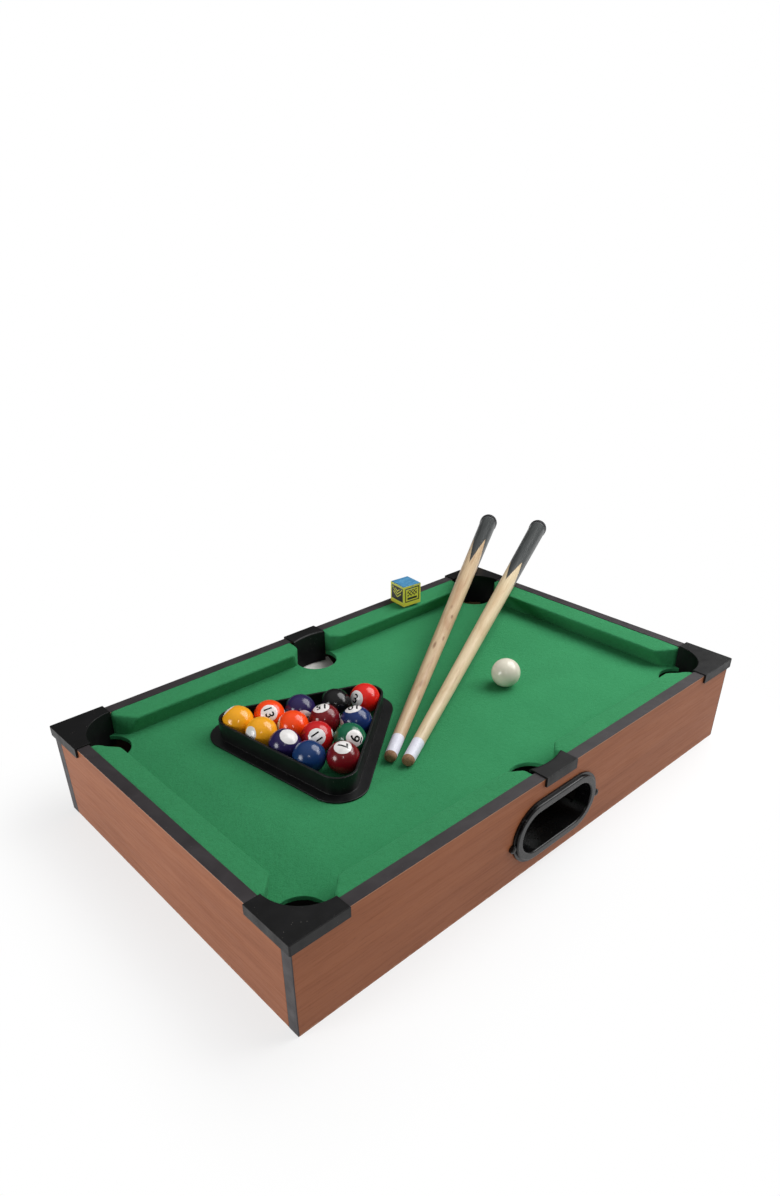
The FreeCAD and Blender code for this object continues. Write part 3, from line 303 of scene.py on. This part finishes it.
def make_label_paint(middle, turn):
    """The paper band round the chalk: a plain pattern of frames, bars and dots in two colours."""
    p = Paint("chalk_paper")
    along_x = (math.cos(math.radians(turn)), math.sin(math.radians(turn)), 0)
    along_y = (-math.sin(math.radians(turn)), math.cos(math.radians(turn)), 0)
    u = p.along(along_x, tuple(middle))
    v = p.along(along_y, tuple(middle))
    h = p.along((0, 0, 1), tuple(middle))
    on_x_side = p.math("GREATER_THAN", p.math("ABSOLUTE", v), p.math("ABSOLUTE", u))

    def between(value, low, high):
        past_low = p.remap(value, low - 0.1, low + 0.1)
        before_high = p.remap(value, high + 0.1, high - 0.1)
        return p.math("MULTIPLY", past_low, before_high)

    def box(a, low_a, high_a, low_h, high_h):
        return p.math("MULTIPLY", between(a, low_a, high_a), between(h, low_h, high_h))

    def disc(a, at_a, at_h, radius):
        da, dh = p.math("SUBTRACT", a, at_a), p.math("SUBTRACT", h, at_h)
        gap = p.math("SQRT", p.math("ADD", p.math("MULTIPLY", da, da), p.math("MULTIPLY", dh, dh)))
        return p.remap(gap, radius + 0.12, radius - 0.12)

    ink, lime = srgb(34, 32, 30), srgb(204, 206, 46)
    fade = p.noise(2.4, detail=3.0)
    paper = p.mix(p.remap(fade, 0.3, 0.7), lime, srgb(218, 214, 78))
    # black panel with a lime frame, three chevrons and a bar, on the faces across the width
    panel = p.mix(box(v, -9.6, 9.6, -6.6, 8.6), paper, ink)
    slant = p.math("ADD", h, p.math("MULTIPLY", p.math("ABSOLUTE", v), -0.75))
    for at in (-3.6, -0.4, 2.8):
        band = p.math("MULTIPLY", p.remap(slant, at - 0.1, at + 0.1), p.remap(slant, at + 1.5, at + 1.3))
        panel = p.mix(p.math("MULTIPLY", band, box(v, -6.4, 6.4, -5.4, 6.2)), panel, paper)
    for at in (-7.4, 7.4):
        panel = p.mix(disc(v, at, 6.4, 0.9), panel, paper)
    # lime face with a black frame, a lozenge grid and a bar, on the faces along the length
    front = p.mix(box(u, -9.4, 9.4, -6.8, 8.8), paper, ink)
    front = p.mix(box(u, -8.2, 8.2, -5.6, 7.6), front, paper)
    slope_a, slope_b = p.math("ADD", u, h), p.math("SUBTRACT", u, h)
    for slope in (slope_a, slope_b):
        wave = p.math("PINGPONG", p.math("ADD", slope, 60.0), 2.1)
        lattice = p.math("MULTIPLY", p.remap(wave, 0.75, 0.55), box(u, -6.4, 6.4, -0.4, 6.2))
        front = p.mix(lattice, front, ink)
    front = p.mix(box(u, -6.4, 6.4, -4.4, -2.0), front, ink)
    tone = p.mix(on_x_side, panel, front)
    tone = p.mix(p.remap(h, -8.4, -8.7), tone, srgb(210, 200, 60))
    dust = p.math("MULTIPLY", p.remap(p.noise(3.5, 4.0), 0.5, 0.7), p.remap(h, 4.0, 10.5, 0.1, 0.75))
    tone = p.mix(dust, tone, srgb(92, 140, 160))
    return p.finish(tone, p.remap(fade, 0.3, 0.7, 0.45, 0.65), p.bump(fade, 0.06))


# ---------------------------------------------------------------- mesh helpers


def add_piece(name, bm, material, body, slot, *replaced):
    """A new piece from mesh data in the row frame, riding on a body."""
    mesh = bpy.data.meshes.new(name)
    bm.to_mesh(mesh)
    bm.free()
    for attribute in [a for a in mesh.attributes if a.name == "custom_normal"]:
        mesh.attributes.remove(attribute)
    mesh.materials.clear()
    mesh.materials.append(material)
    piece = bpy.data.objects.new(name, mesh)
    bpy.context.scene.collection.objects.link(piece)
    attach(piece, body)
    if replaced:
        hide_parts(*replaced)
    return piece


def clean_copy(node):
    """A CAD node's mesh with its seams joined and its flat faces whole."""
    bm = bmesh.new()
    bm.from_mesh(nodes[node].data)
    bmesh.ops.remove_doubles(bm, verts=bm.verts, dist=2e-6)
    bmesh.ops.dissolve_limit(bm, angle_limit=0.01, verts=bm.verts, edges=bm.edges)
    return bm


def ease(node, name, material, body, slot, width):
    """A piece in a CAD node's place, its shape with every sharp edge eased."""
    bm = clean_copy(node)
    sharp = [e for e in bm.edges if len(e.link_faces) == 2 and e.calc_face_angle() > 0.55]
    bmesh.ops.bevel(bm, geom=sharp, offset=width * MM, segments=2, profile=0.5,
                    affect="EDGES", clamp_overlap=True)
    for face in bm.faces:
        face.smooth = True
    piece = add_piece(name, bm, material, body, slot, node)
    weighted = piece.modifiers.new("flat_faces", "WEIGHTED_NORMAL")
    weighted.weight = 80
    weighted.keep_sharp = False
    return piece


def repaint(material, *names):
    for name in names:
        for slot in nodes[name].material_slots:
            slot.material = material


# ---------------------------------------------------------------- table frame

laminate_x = make_laminate("laminate_long", (0.045, 1.0, 1.0), (0, 1, 0), 150.3)
laminate_y = make_laminate("laminate_end", (1.0, 0.045, 1.0), (1, 0, 0), 245.3)
charcoal = make_plastic("edge_band", srgb(47, 43, 45), srgb(58, 54, 56), 0.48, grain=0.6, dust=0.35,
                        specular_ior_level=0.3)
cap_black = make_plastic("cap_plastic", srgb(15, 15, 15), srgb(22, 22, 23), 0.42, grain=0.7, dust=0.75,
                         depth=0.05, specular_ior_level=0.22)
cup_black = make_plastic("cup_plastic", srgb(8, 8, 9), srgb(14, 14, 15), 0.26, grain=1.3, dust=0.4,
                         depth=0.02, specular_ior_level=0.36)
rack_black = make_plastic("rack_plastic", srgb(10, 10, 11), srgb(18, 18, 19), 0.36, grain=1.0, dust=0.6,
                          depth=0.03, specular_ior_level=0.35)

for node in ("front_panel", "rear_panel"):
    ease(node, node + "_foil", laminate_x, "table", "laminate", 0.45)
for node in ("left_end_panel", "right_end_panel"):
    ease(node, node + "_foil", laminate_y, "table", "laminate", 0.45)
for node in ("front_top_band", "rear_top_band", "left_top_band", "right_top_band", "corner_bands"):
    ease(node, node + "_edging", charcoal, "table", "band", 0.22)

CAPS = ("front_left_cap", "front_right_cap", "rear_right_cap", "rear_left_cap",
        "front_middle_cap", "rear_middle_cap")
repaint(cap_black, *CAPS)
repaint(cup_black, "ball_return_cup")
repaint(make_plastic("screw_black", srgb(34, 33, 32), srgb(52, 50, 49), 0.35, grain=0.4, metallic=0.7),
        "ball_return_screws")
repaint(make_board("hardboard", srgb(112, 78, 50), srgb(140, 102, 68), srgb(70, 46, 30)),
        "playfield_board", "base_board")
repaint(make_board("white_card", srgb(214, 212, 206), srgb(236, 234, 230), srgb(160, 156, 148), 0.9),
        "rear_chute")
# the ramps inside the table are painted near-black, painted shade for the dark inside seen through the
# pockets and the port
repaint(make_board("dark_card_painted_shade", srgb(34, 30, 27), srgb(46, 41, 37), srgb(22, 20, 18), 0.9),
        "left_ramp", "right_ramp", "centre_ramp")
repaint(make_board("pine", srgb(176, 140, 96), srgb(204, 170, 124), srgb(120, 86, 54), 1.8),
        "playfield_battens", "corner_blocks")

# ---------------------------------------------------------------- playing surface and cushions

FELT_TOP = 62.4
POCKET_RADIUS = 20.4
CORNER_POCKETS = [(x, y, POCKET_RADIUS) for x in (-226.1, 226.1) for y in (-131.1, 131.1)]
MIDDLE_POCKETS = [(0, -135.9, POCKET_RADIUS), (0, 135.9, POCKET_RADIUS)]
POCKETS = CORNER_POCKETS + MIDDLE_POCKETS
# how far in and how far down the cloth's rim goes, step by step
RIM_FOLD = ((0.22, 0.1), (0.38, 0.3), (0.45, 0.7), (0.45, 3.5))
COVER_THICK = 1.3

felt = make_felt("play_felt", srgb(47, 126, 79), srgb(61, 146, 96))
# the cushions' cloth is the bed's felt painted a little darker: painted shade on the cushions
cushion_felt_painted_shade = make_felt("cushion_felt_painted_shade", srgb(47, 122, 77), srgb(61, 144, 94))
foam = make_board("cushion_foam", srgb(92, 90, 84), srgb(120, 116, 108), srgb(60, 58, 54), 0.8)


def make_playing_cloth():
    """The cloth on the board: one flat sheet, turned down over the edge of each pocket."""
    bm = bmesh.new()
    bm.from_mesh(nodes["playfield_cloth"].data)
    bmesh.ops.remove_doubles(bm, verts=bm.verts, dist=2e-6)
    low = [f for f in bm.faces if f.normal.z < 0.9]
    bmesh.ops.delete(bm, geom=low, context="FACES")
    rim, middle_of = [], {}
    for edge in bm.edges:
        if len(edge.link_faces) != 1:
            continue
        for x, y, radius in POCKETS:
            centre = Vector((x, y, 0)) * MM
            if all(abs((v.co.xy - centre.xy).length - radius * MM) < 0.3 * MM for v in edge.verts):
                rim.append(edge)
                for v in edge.verts:
                    middle_of[v] = centre
    for inward, drop in RIM_FOLD:
        made = bmesh.ops.extrude_edge_only(bm, edges=rim)["geom"]
        fresh = [g for g in made if isinstance(g, bmesh.types.BMVert)]
        rim = [g for g in made if isinstance(g, bmesh.types.BMEdge) and len(g.link_faces) == 1
               and all(v in fresh for v in g.verts)]
        nearby = {}
        for v in fresh:
            x, y, radius = min(POCKETS, key=lambda q: (v.co.xy - Vector((q[0], q[1])) * MM).length)
            centre = Vector((x, y)) * MM
            away = (v.co.xy - centre).normalized() * (radius - inward) * MM
            nearby[v] = (centre.x + away.x, centre.y + away.y, (FELT_TOP - drop) * MM)
        for v, co in nearby.items():
            v.co = co
    bmesh.ops.recalc_face_normals(bm, faces=bm.faces)
    for face in bm.faces:
        face.smooth = abs(face.normal.z) < 0.99
    piece = add_piece("playing_cloth", bm, felt, "table", "baize", "playfield_cloth")
    return piece


def cushion_hull(node, outward):
    """A cushion's filled shape, drawn out past its back and its foot to be trimmed later."""
    bm = bmesh.new()
    for v in clean_copy(node).verts:
        bm.verts.new(v.co)
    bm.verts.ensure_lookup_table()
    reach = max(v.co.dot(outward) for v in bm.verts)
    floor = min(v.co.z for v in bm.verts)
    for v in bm.verts:
        if v.co.dot(outward) > reach - 0.05 * MM:
            v.co += outward * 3.0 * MM
            if v.co.z > 70 * MM:
                v.co.z += 0.4 * MM
        if v.co.z < floor + 0.05 * MM:
            v.co.z -= 3.0 * MM
            if v.co.dot(outward) < reach:
                v.co += outward * 1.45 * MM
    made = bmesh.ops.convex_hull(bm, input=bm.verts)
    spare = set(made["geom_interior"]) | set(made["geom_unused"])
    bmesh.ops.delete(bm, geom=[g for g in spare if isinstance(g, bmesh.types.BMVert)], context="VERTS")
    return bm, reach, floor


def remeshed(bm, voxel, name):
    """The same solid as an even mesh."""
    mesh = bpy.data.meshes.new(name)
    bm.to_mesh(mesh)
    bm.free()
    holder = bpy.data.objects.new(name, mesh)
    bpy.context.scene.collection.objects.link(holder)
    modifier = holder.modifiers.new("even", "REMESH")
    modifier.mode = "VOXEL"
    modifier.voxel_size = voxel * MM
    bpy.context.view_layer.update()
    ready = holder.evaluated_get(bpy.context.evaluated_depsgraph_get())
    fresh = bmesh.new()
    fresh.from_mesh(ready.to_mesh())
    ready.to_mesh_clear()
    bpy.data.objects.remove(holder)
    bpy.data.meshes.remove(mesh)
    return fresh


def trim(bm, point, normal):
    """Remove what lies beyond a plane, and leave the cut open."""
    geom = list(bm.verts) + list(bm.edges) + list(bm.faces)
    bmesh.ops.bisect_plane(bm, geom=geom, plane_co=point, plane_no=normal, clear_outer=True)


def make_cushion(node, outward, core):
    outward = Vector(outward)
    bm, reach, floor = cushion_hull(node, outward)
    bm = remeshed(bm, 1.25, node + "_even")
    for _ in range(5):
        bmesh.ops.smooth_vert(bm, verts=bm.verts, factor=0.5,
                              use_axis_x=True, use_axis_y=True, use_axis_z=True)
    bm.normal_update()
    for v in bm.verts:
        ripple = noise.noise(v.co * 55.0) * 0.16 + noise.noise(v.co * 160.0) * 0.05
        v.co += v.normal * ripple * MM
    inner = bm.copy()
    trim(bm, outward * (reach - 0.05 * MM), outward)
    trim(bm, Vector((0, 0, floor + 0.05 * MM)), Vector((0, 0, -1)))
    for face in bm.faces:
        face.smooth = True
    piece = add_piece(node + "_cover", bm, cushion_felt_painted_shade, "table", "baize", node)
    inner.normal_update()
    for v in inner.verts:
        v.co -= v.normal * COVER_THICK * MM
    trim(inner, outward * (reach - 0.4 * MM), outward)
    trim(inner, Vector((0, 0, floor + 0.4 * MM)), Vector((0, 0, -1)))
    rims = [e for e in inner.edges if len(e.link_faces) == 1]
    bmesh.ops.holes_fill(inner, edges=rims, sides=0)
    shape = bpy.data.meshes.new(node + "_inner")
    inner.to_mesh(shape)
    inner.free()
    core.from_mesh(shape)
    bpy.data.meshes.remove(shape)


make_playing_cloth()
core = bmesh.new()
for node, outward in (("front_left_cushion", (0, -1, 0)), ("front_right_cushion", (0, -1, 0)),
                      ("rear_right_cushion", (0, 1, 0)), ("rear_left_cushion", (0, 1, 0)),
                      ("left_end_cushion", (-1, 0, 0)), ("right_end_cushion", (1, 0, 0))):
    make_cushion(node, outward, core)
add_piece("cushion_foam", core, foam, "table", "core", "cushion_cores")

# ---------------------------------------------------------------- rack and balls

ease("rack", "rack_frame", rack_black, "rack", "rack", 0.35)

BALL_RADIUS = 13.4
YELLOW, ORANGE, RED = srgb(247, 170, 30), srgb(252, 74, 14), srgb(224, 32, 24)
CRIMSON, MAROON, GREEN = srgb(198, 26, 30), srgb(114, 18, 26), srgb(18, 100, 68)
BLUE, NAVY, PURPLE, BLACK = srgb(21, 54, 104), srgb(24, 46, 100), srgb(40, 30, 80), srgb(13, 13, 14)

# ball: colour, number, azimuth and elevation of its circle, turn of the digits,
# and for a striped ball the azimuth, elevation and reach of its white end, all in degrees
BALLS = {
    "yellow_ball": (YELLOW, "1", (110, 40), 0, None),
    "orange_stripe_ball": (ORANGE, "13", (-125, 42), 73, (-35, 5, 17)),
    "purple_ball": (PURPLE, "4", (-116, -4), 60, None),
    "black_ball": (BLACK, "8", (50, -20), 0, None),
    "red_ball": (RED, "3", (-174, 23), 5, None),
    "yellow_stripe_ball": (YELLOW, "9", (50, -20), 0, (-174, 22, 27)),
    "orange_ball": (ORANGE, "5", (140, 10), 0, None),
    "maroon_stripe_ball": (MAROON, "15", (137, 78), 85, (-38, 5, 17)),
    "blue_stripe_ball": (NAVY, "10", (103, 76), 53, (161, -4, 25)),
    "purple_stripe_ball": (PURPLE, "12", (50, -20), 0, (-84, 62, 33)),
    "red_stripe_ball": (CRIMSON, "11", (-129, 33), 58, (-38, 12, 18)),
    "green_ball": (GREEN, "6", (-108, 33), -60, None),
    "blue_ball": (BLUE, "2", (50, -20), 0, None),
    "maroon_ball": (MAROON, "7", (-129, 78), 90, None),
}


def make_ink():
    p = Paint("number_ink")
    fleck = p.noise(0.5, detail=3.0)
    tone = p.mix(p.remap(fleck, 0.3, 0.7), srgb(20, 18, 20), srgb(34, 32, 34))
    return p.finish(tone, p.remap(fleck, 0.3, 0.7, 0.14, 0.24), p.bump(fleck, 0.01))


def flat_digits(text, height):
    """Bold digits as a flat mesh about the origin, cut fine enough to bend round a ball."""
    curve = bpy.data.curves.new("digits", "FONT")
    curve.body = text
    curve.align_x, curve.align_y = "CENTER", "CENTER"
    curve.size = height * 1.38
    curve.offset = height * 0.026
    curve.space_character = 1.05
    curve.dimensions, curve.fill_mode = "2D", "BOTH"
    holder = bpy.data.objects.new("digits", curve)
    bpy.context.scene.collection.objects.link(holder)
    bpy.context.view_layer.update()
    ready = holder.evaluated_get(bpy.context.evaluated_depsgraph_get())
    bm = bmesh.new()
    bm.from_mesh(ready.to_mesh())
    ready.to_mesh_clear()
    bpy.data.objects.remove(holder)
    bpy.data.curves.remove(curve)
    low = Vector([min(v.co[i] for v in bm.verts) for i in range(3)])
    high = Vector([max(v.co[i] for v in bm.verts) for i in range(3)])
    bmesh.ops.translate(bm, verts=bm.verts, vec=-(low + high) / 2)
    if text in ("6", "9"):
        half, top = (high.x - low.x) / 2, low.y - (low + high).y / 2 - height * 0.1
        corners = ((-half, top - height * 0.13), (half, top - height * 0.13), (half, top), (-half, top))
        bm.faces.new([bm.verts.new((x, y, 0)) for x, y in corners])
    for _ in range(8):
        bmesh.ops.triangulate(bm, faces=bm.faces)
        bmesh.ops.subdivide_edges(bm, edges=[e for e in bm.edges if e.calc_length() > 0.8], cuts=1)
    bmesh.ops.triangulate(bm, faces=bm.faces)
    return bm


def wrap_digits(bm, centre, spot, turn, proud):
    """Bend flat digits onto a ball about the point that faces along spot."""
    north = (Vector((0, 0, 1)) - spot * spot.z).normalized()
    east = north.cross(spot)
    turn = math.radians(turn)
    up = north * math.cos(turn) + east * math.sin(turn)
    right = up.cross(spot)
    for v in bm.verts:
        tangent = right * v.co.x + up * v.co.y
        reach = tangent.length
        angle = reach / BALL_RADIUS
        lean = tangent.normalized() * math.sin(angle) if reach > 1e-9 else Vector()
        direction = spot * math.cos(angle) + lean
        v.co = (centre + direction * (BALL_RADIUS + proud)) * MM
    bmesh.ops.recalc_face_normals(bm, faces=bm.faces)
    if sum(f.normal.dot((f.calc_center_median() - centre * MM).normalized()) for f in bm.faces) < 0:
        bmesh.ops.reverse_faces(bm, faces=bm.faces)


ink = make_ink()
for ball, (colour, number, circle, turn, cap) in BALLS.items():
    low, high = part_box(ball)
    centre = (low + high) / 2 / MM
    spot = facing(*circle)
    repaint(make_ball_paint(ball + "_resin", colour, spot, cap, centre), ball)
    digits = flat_digits(number, 8.4 if len(number) == 1 else 7.4)
    wrap_digits(digits, centre, spot, turn, 0.06)
    for face in digits.faces:
        face.smooth = True
    add_piece(ball + "_number", digits, ink, ball, ball)

low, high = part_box("cue_ball")
ivory = make_ball_paint("cue_ball_resin", srgb(226, 220, 202), None, None, (low + high) / 2 / MM)
repaint(ivory, "cue_ball")

# ---------------------------------------------------------------- cues


def cue_axis(side):
    """A cue's tip end and direction, from its tip and bumper."""
    ends = []
    for piece in ("tip", "bumper"):
        spots = {tuple(round(c, 6) for c in v.co) for v in nodes[side + "_cue_" + piece].data.vertices}
        ends.append(sum((Vector(s) for s in spots), Vector()) / len(spots))
    axis = (ends[1] - ends[0]).normalized()
    first = min((v.co - ends[0]).dot(axis) for v in nodes[side + "_cue_tip"].data.vertices)
    return (ends[0] + axis * first) / MM, axis


def make_banded(name, dark, light, rough, size, **fixed):
    p = Paint(name)
    grain = p.noise(size, detail=4.0, rough=0.65)
    mottle = p.noise(size * 6, detail=3.0)
    tone = p.mix(p.remap(grain, 0.3, 0.7), dark, light)
    tone = p.mix(p.remap(mottle, 0.45, 0.7, 0.0, 0.35), tone, dark)
    gloss = p.remap(mottle, 0.3, 0.7, rough * 0.85, rough * 1.15)
    return p.finish(tone, gloss, p.bump(grain, 0.05), **fixed)


LEFT_WOOD = (srgb(203, 181, 148), srgb(187, 160, 124), srgb(164, 124, 90), srgb(118, 78, 52))
RIGHT_WOOD = (srgb(213, 195, 161), srgb(203, 182, 146), srgb(188, 160, 120), srgb(156, 122, 88))
LEFT_KNOTS = ((230, 40, 5.0, 1.9, 0.85), (247, 8, 6.0, 1.6, 0.5), (170, 0, 8.0, 1.8, 0.75),
              (187, 46, 5.0, 1.4, 0.6), (103, 20, 8.0, 1.2, 0.45), (84, 52, 6.0, 1.3, 0.45))
RIGHT_KNOTS = ((124, 42, 14.0, 1.0, 0.35), (39, 10, 9.0, 0.9, 0.3))

ferrule = make_banded("ferrule_plastic", srgb(206, 206, 218), srgb(228, 228, 238), 0.4, 1.2)
leather = make_banded("tip_leather", srgb(112, 76, 52), srgb(166, 128, 92), 0.8, 0.8)
rubber = make_banded("bumper_rubber", srgb(22, 22, 24), srgb(36, 36, 38), 0.5, 0.9)
for side, wood, knots, apex, valley in (("left", LEFT_WOOD, LEFT_KNOTS, 353.0, 424.0),
                                        ("right", RIGHT_WOOD, RIGHT_KNOTS, 323.0, 375.0)):
    tip, axis = cue_axis(side)
    paint = make_cue_paint(side + "_cue_wood", tip, axis, apex, valley, wood, knots)
    repaint(paint, side + "_cue_shaft")
    repaint(ferrule, side + "_cue_ferrule")
    repaint(leather, side + "_cue_tip")
    repaint(rubber, side + "_cue_bumper")

# ---------------------------------------------------------------- chalk

low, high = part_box("chalk_label")
chalk_middle = (low + high) / 2 / MM
ease("chalk_block", "chalk_cube", make_chalk_paint(), "chalk", "chalk", 0.7)
repaint(make_label_paint(chalk_middle, -6.0), "chalk_label")

# ---------------------------------------------------------------- stage, light and camera


HALF_LENGTH, HALF_WIDTH, SHADOW_REACH = 255.0, 160.0, 110.0


def make_floor():
    """A pale floor with a faint soft shadow near the table, fading into the white around it."""
    bm = bmesh.new()
    bmesh.ops.create_circle(bm, cap_ends=True, segments=96, radius=9.0)
    mesh = bpy.data.meshes.new("floor")
    bm.to_mesh(mesh)
    bm.free()
    floor = bpy.data.objects.new("floor", mesh)
    floor.location.z = -0.0004
    bpy.context.scene.collection.objects.link(floor)
    p = Paint("pale_floor")
    parts = p.node("SeparateXYZ", {0: p.here}).outputs
    past_end = p.math("MAXIMUM", p.math("SUBTRACT", p.math("ABSOLUTE", parts[0]), HALF_LENGTH), 0.0)
    past_side = p.math("MAXIMUM", p.math("SUBTRACT", p.math("ABSOLUTE", parts[1]), HALF_WIDTH), 0.0)
    away = p.node("CombineXYZ", {0: past_end, 1: past_side})
    away = p.node("VectorMath", {0: away.outputs[0]}, operation="LENGTH").outputs["Value"]
    fade = p.remap(away, 0.0, SHADOW_REACH, 0.7, 1.0, "SMOOTHSTEP")
    p.finish(srgb(246, 246, 246), 0.8, specular_ior_level=0.0)
    glow = p.node("Emission", {"Color": (1, 1, 1, 1), "Strength": 1.0})
    both = p.node("MixShader", {0: fade, 1: p.shader.outputs[0], 2: glow.outputs[0]})
    p.feed(p.tree.nodes["Material Output"].inputs["Surface"], both.outputs[0])
    mesh.materials.append(p.material)


def add_lamp(name, direction, distance, size, power, aim=(0, 0, 0.05)):
    lamp = bpy.data.lights.new(name, "AREA")
    lamp.shape, lamp.size, lamp.energy = "DISK", size, power
    holder = bpy.data.objects.new(name, lamp)
    bpy.context.scene.collection.objects.link(holder)
    direction = Vector(direction).normalized()
    holder.location = Vector(aim) + direction * distance
    holder.rotation_euler = direction.to_track_quat("Z", "Y").to_euler()


def make_world():
    """A studio that is white to the camera and brightest overhead for everything else."""
    world = bpy.data.worlds.new("studio")
    bpy.context.scene.world = world
    world.use_nodes = True
    tree = world.node_tree
    back = tree.nodes["Background"]
    coords = tree.nodes.new("ShaderNodeTexCoord")
    split = tree.nodes.new("ShaderNodeSeparateXYZ")
    tree.links.new(coords.outputs["Generated"], split.inputs[0])
    climb = tree.nodes.new("ShaderNodeMapRange")
    tree.links.new(split.outputs["Z"], climb.inputs["Value"])
    climb.inputs["From Min"].default_value = 0.4
    climb.inputs["From Max"].default_value = 0.9
    climb.inputs["To Min"].default_value = 0.06
    climb.inputs["To Max"].default_value = 0.42
    path = tree.nodes.new("ShaderNodeLightPath")
    pick = tree.nodes.new("ShaderNodeMix")
    tree.links.new(path.outputs["Is Camera Ray"], pick.inputs[0])
    tree.links.new(climb.outputs["Result"], pick.inputs[2])
    pick.inputs[3].default_value = 1.0
    tree.links.new(pick.outputs[0], back.inputs["Strength"])
    back.inputs["Color"].default_value = (1, 1, 1, 1)


# the camera's angles in degrees, its place in metres, its lens in millimetres and its shift
CAMERA_AZIMUTH, CAMERA_ELEVATION, CAMERA_ROLL = -42.416, 32.490, -0.489
CAMERA_PLACE = (-0.4363, -0.4407, 0.4410)
CAMERA_LENS, CAMERA_SHIFT = 24.636, (0.0048, 0.1076)


def make_camera():
    azimuth, elevation, roll = (math.radians(a) for a in (CAMERA_AZIMUTH, CAMERA_ELEVATION, CAMERA_ROLL))
    back = Vector((math.sin(azimuth) * math.cos(elevation),
                   -math.cos(azimuth) * math.cos(elevation),
                   math.sin(elevation)))
    level = Vector((math.cos(azimuth), math.sin(azimuth), 0))
    rise = back.cross(level)
    right = level * math.cos(roll) + rise * math.sin(roll)
    up = rise * math.cos(roll) - level * math.sin(roll)
    lens = bpy.data.cameras.new("camera")
    lens.lens = CAMERA_LENS
    lens.shift_x, lens.shift_y = CAMERA_SHIFT
    lens.clip_start, lens.clip_end = 0.01, 60.0
    camera = bpy.data.objects.new("camera", lens)
    bpy.context.scene.collection.objects.link(camera)
    turn = Matrix((right, up, back)).transposed().to_4x4()
    camera.matrix_world = Matrix.Translation(CAMERA_PLACE) @ turn
    bpy.context.scene.camera = camera


make_floor()
make_world()
make_camera()
# name, direction from the table, distance in metres, width in metres, power in watts
add_lamp("overhead_softbox", (0.62, -0.18, 0.80), 1.15, 1.0, 12.0)
add_lamp("key_softbox", (0.636, -0.582, 0.511), 1.3, 0.55, 3.5)
add_lamp("side_umbrella", (-0.955, 0.165, 0.248), 1.3, 0.55, 6.5)
add_lamp("camera_flash", (-0.57, -0.60, 0.56), 0.85, 0.03, 0.3)
bpy.context.scene.view_settings.view_transform = "Standard"
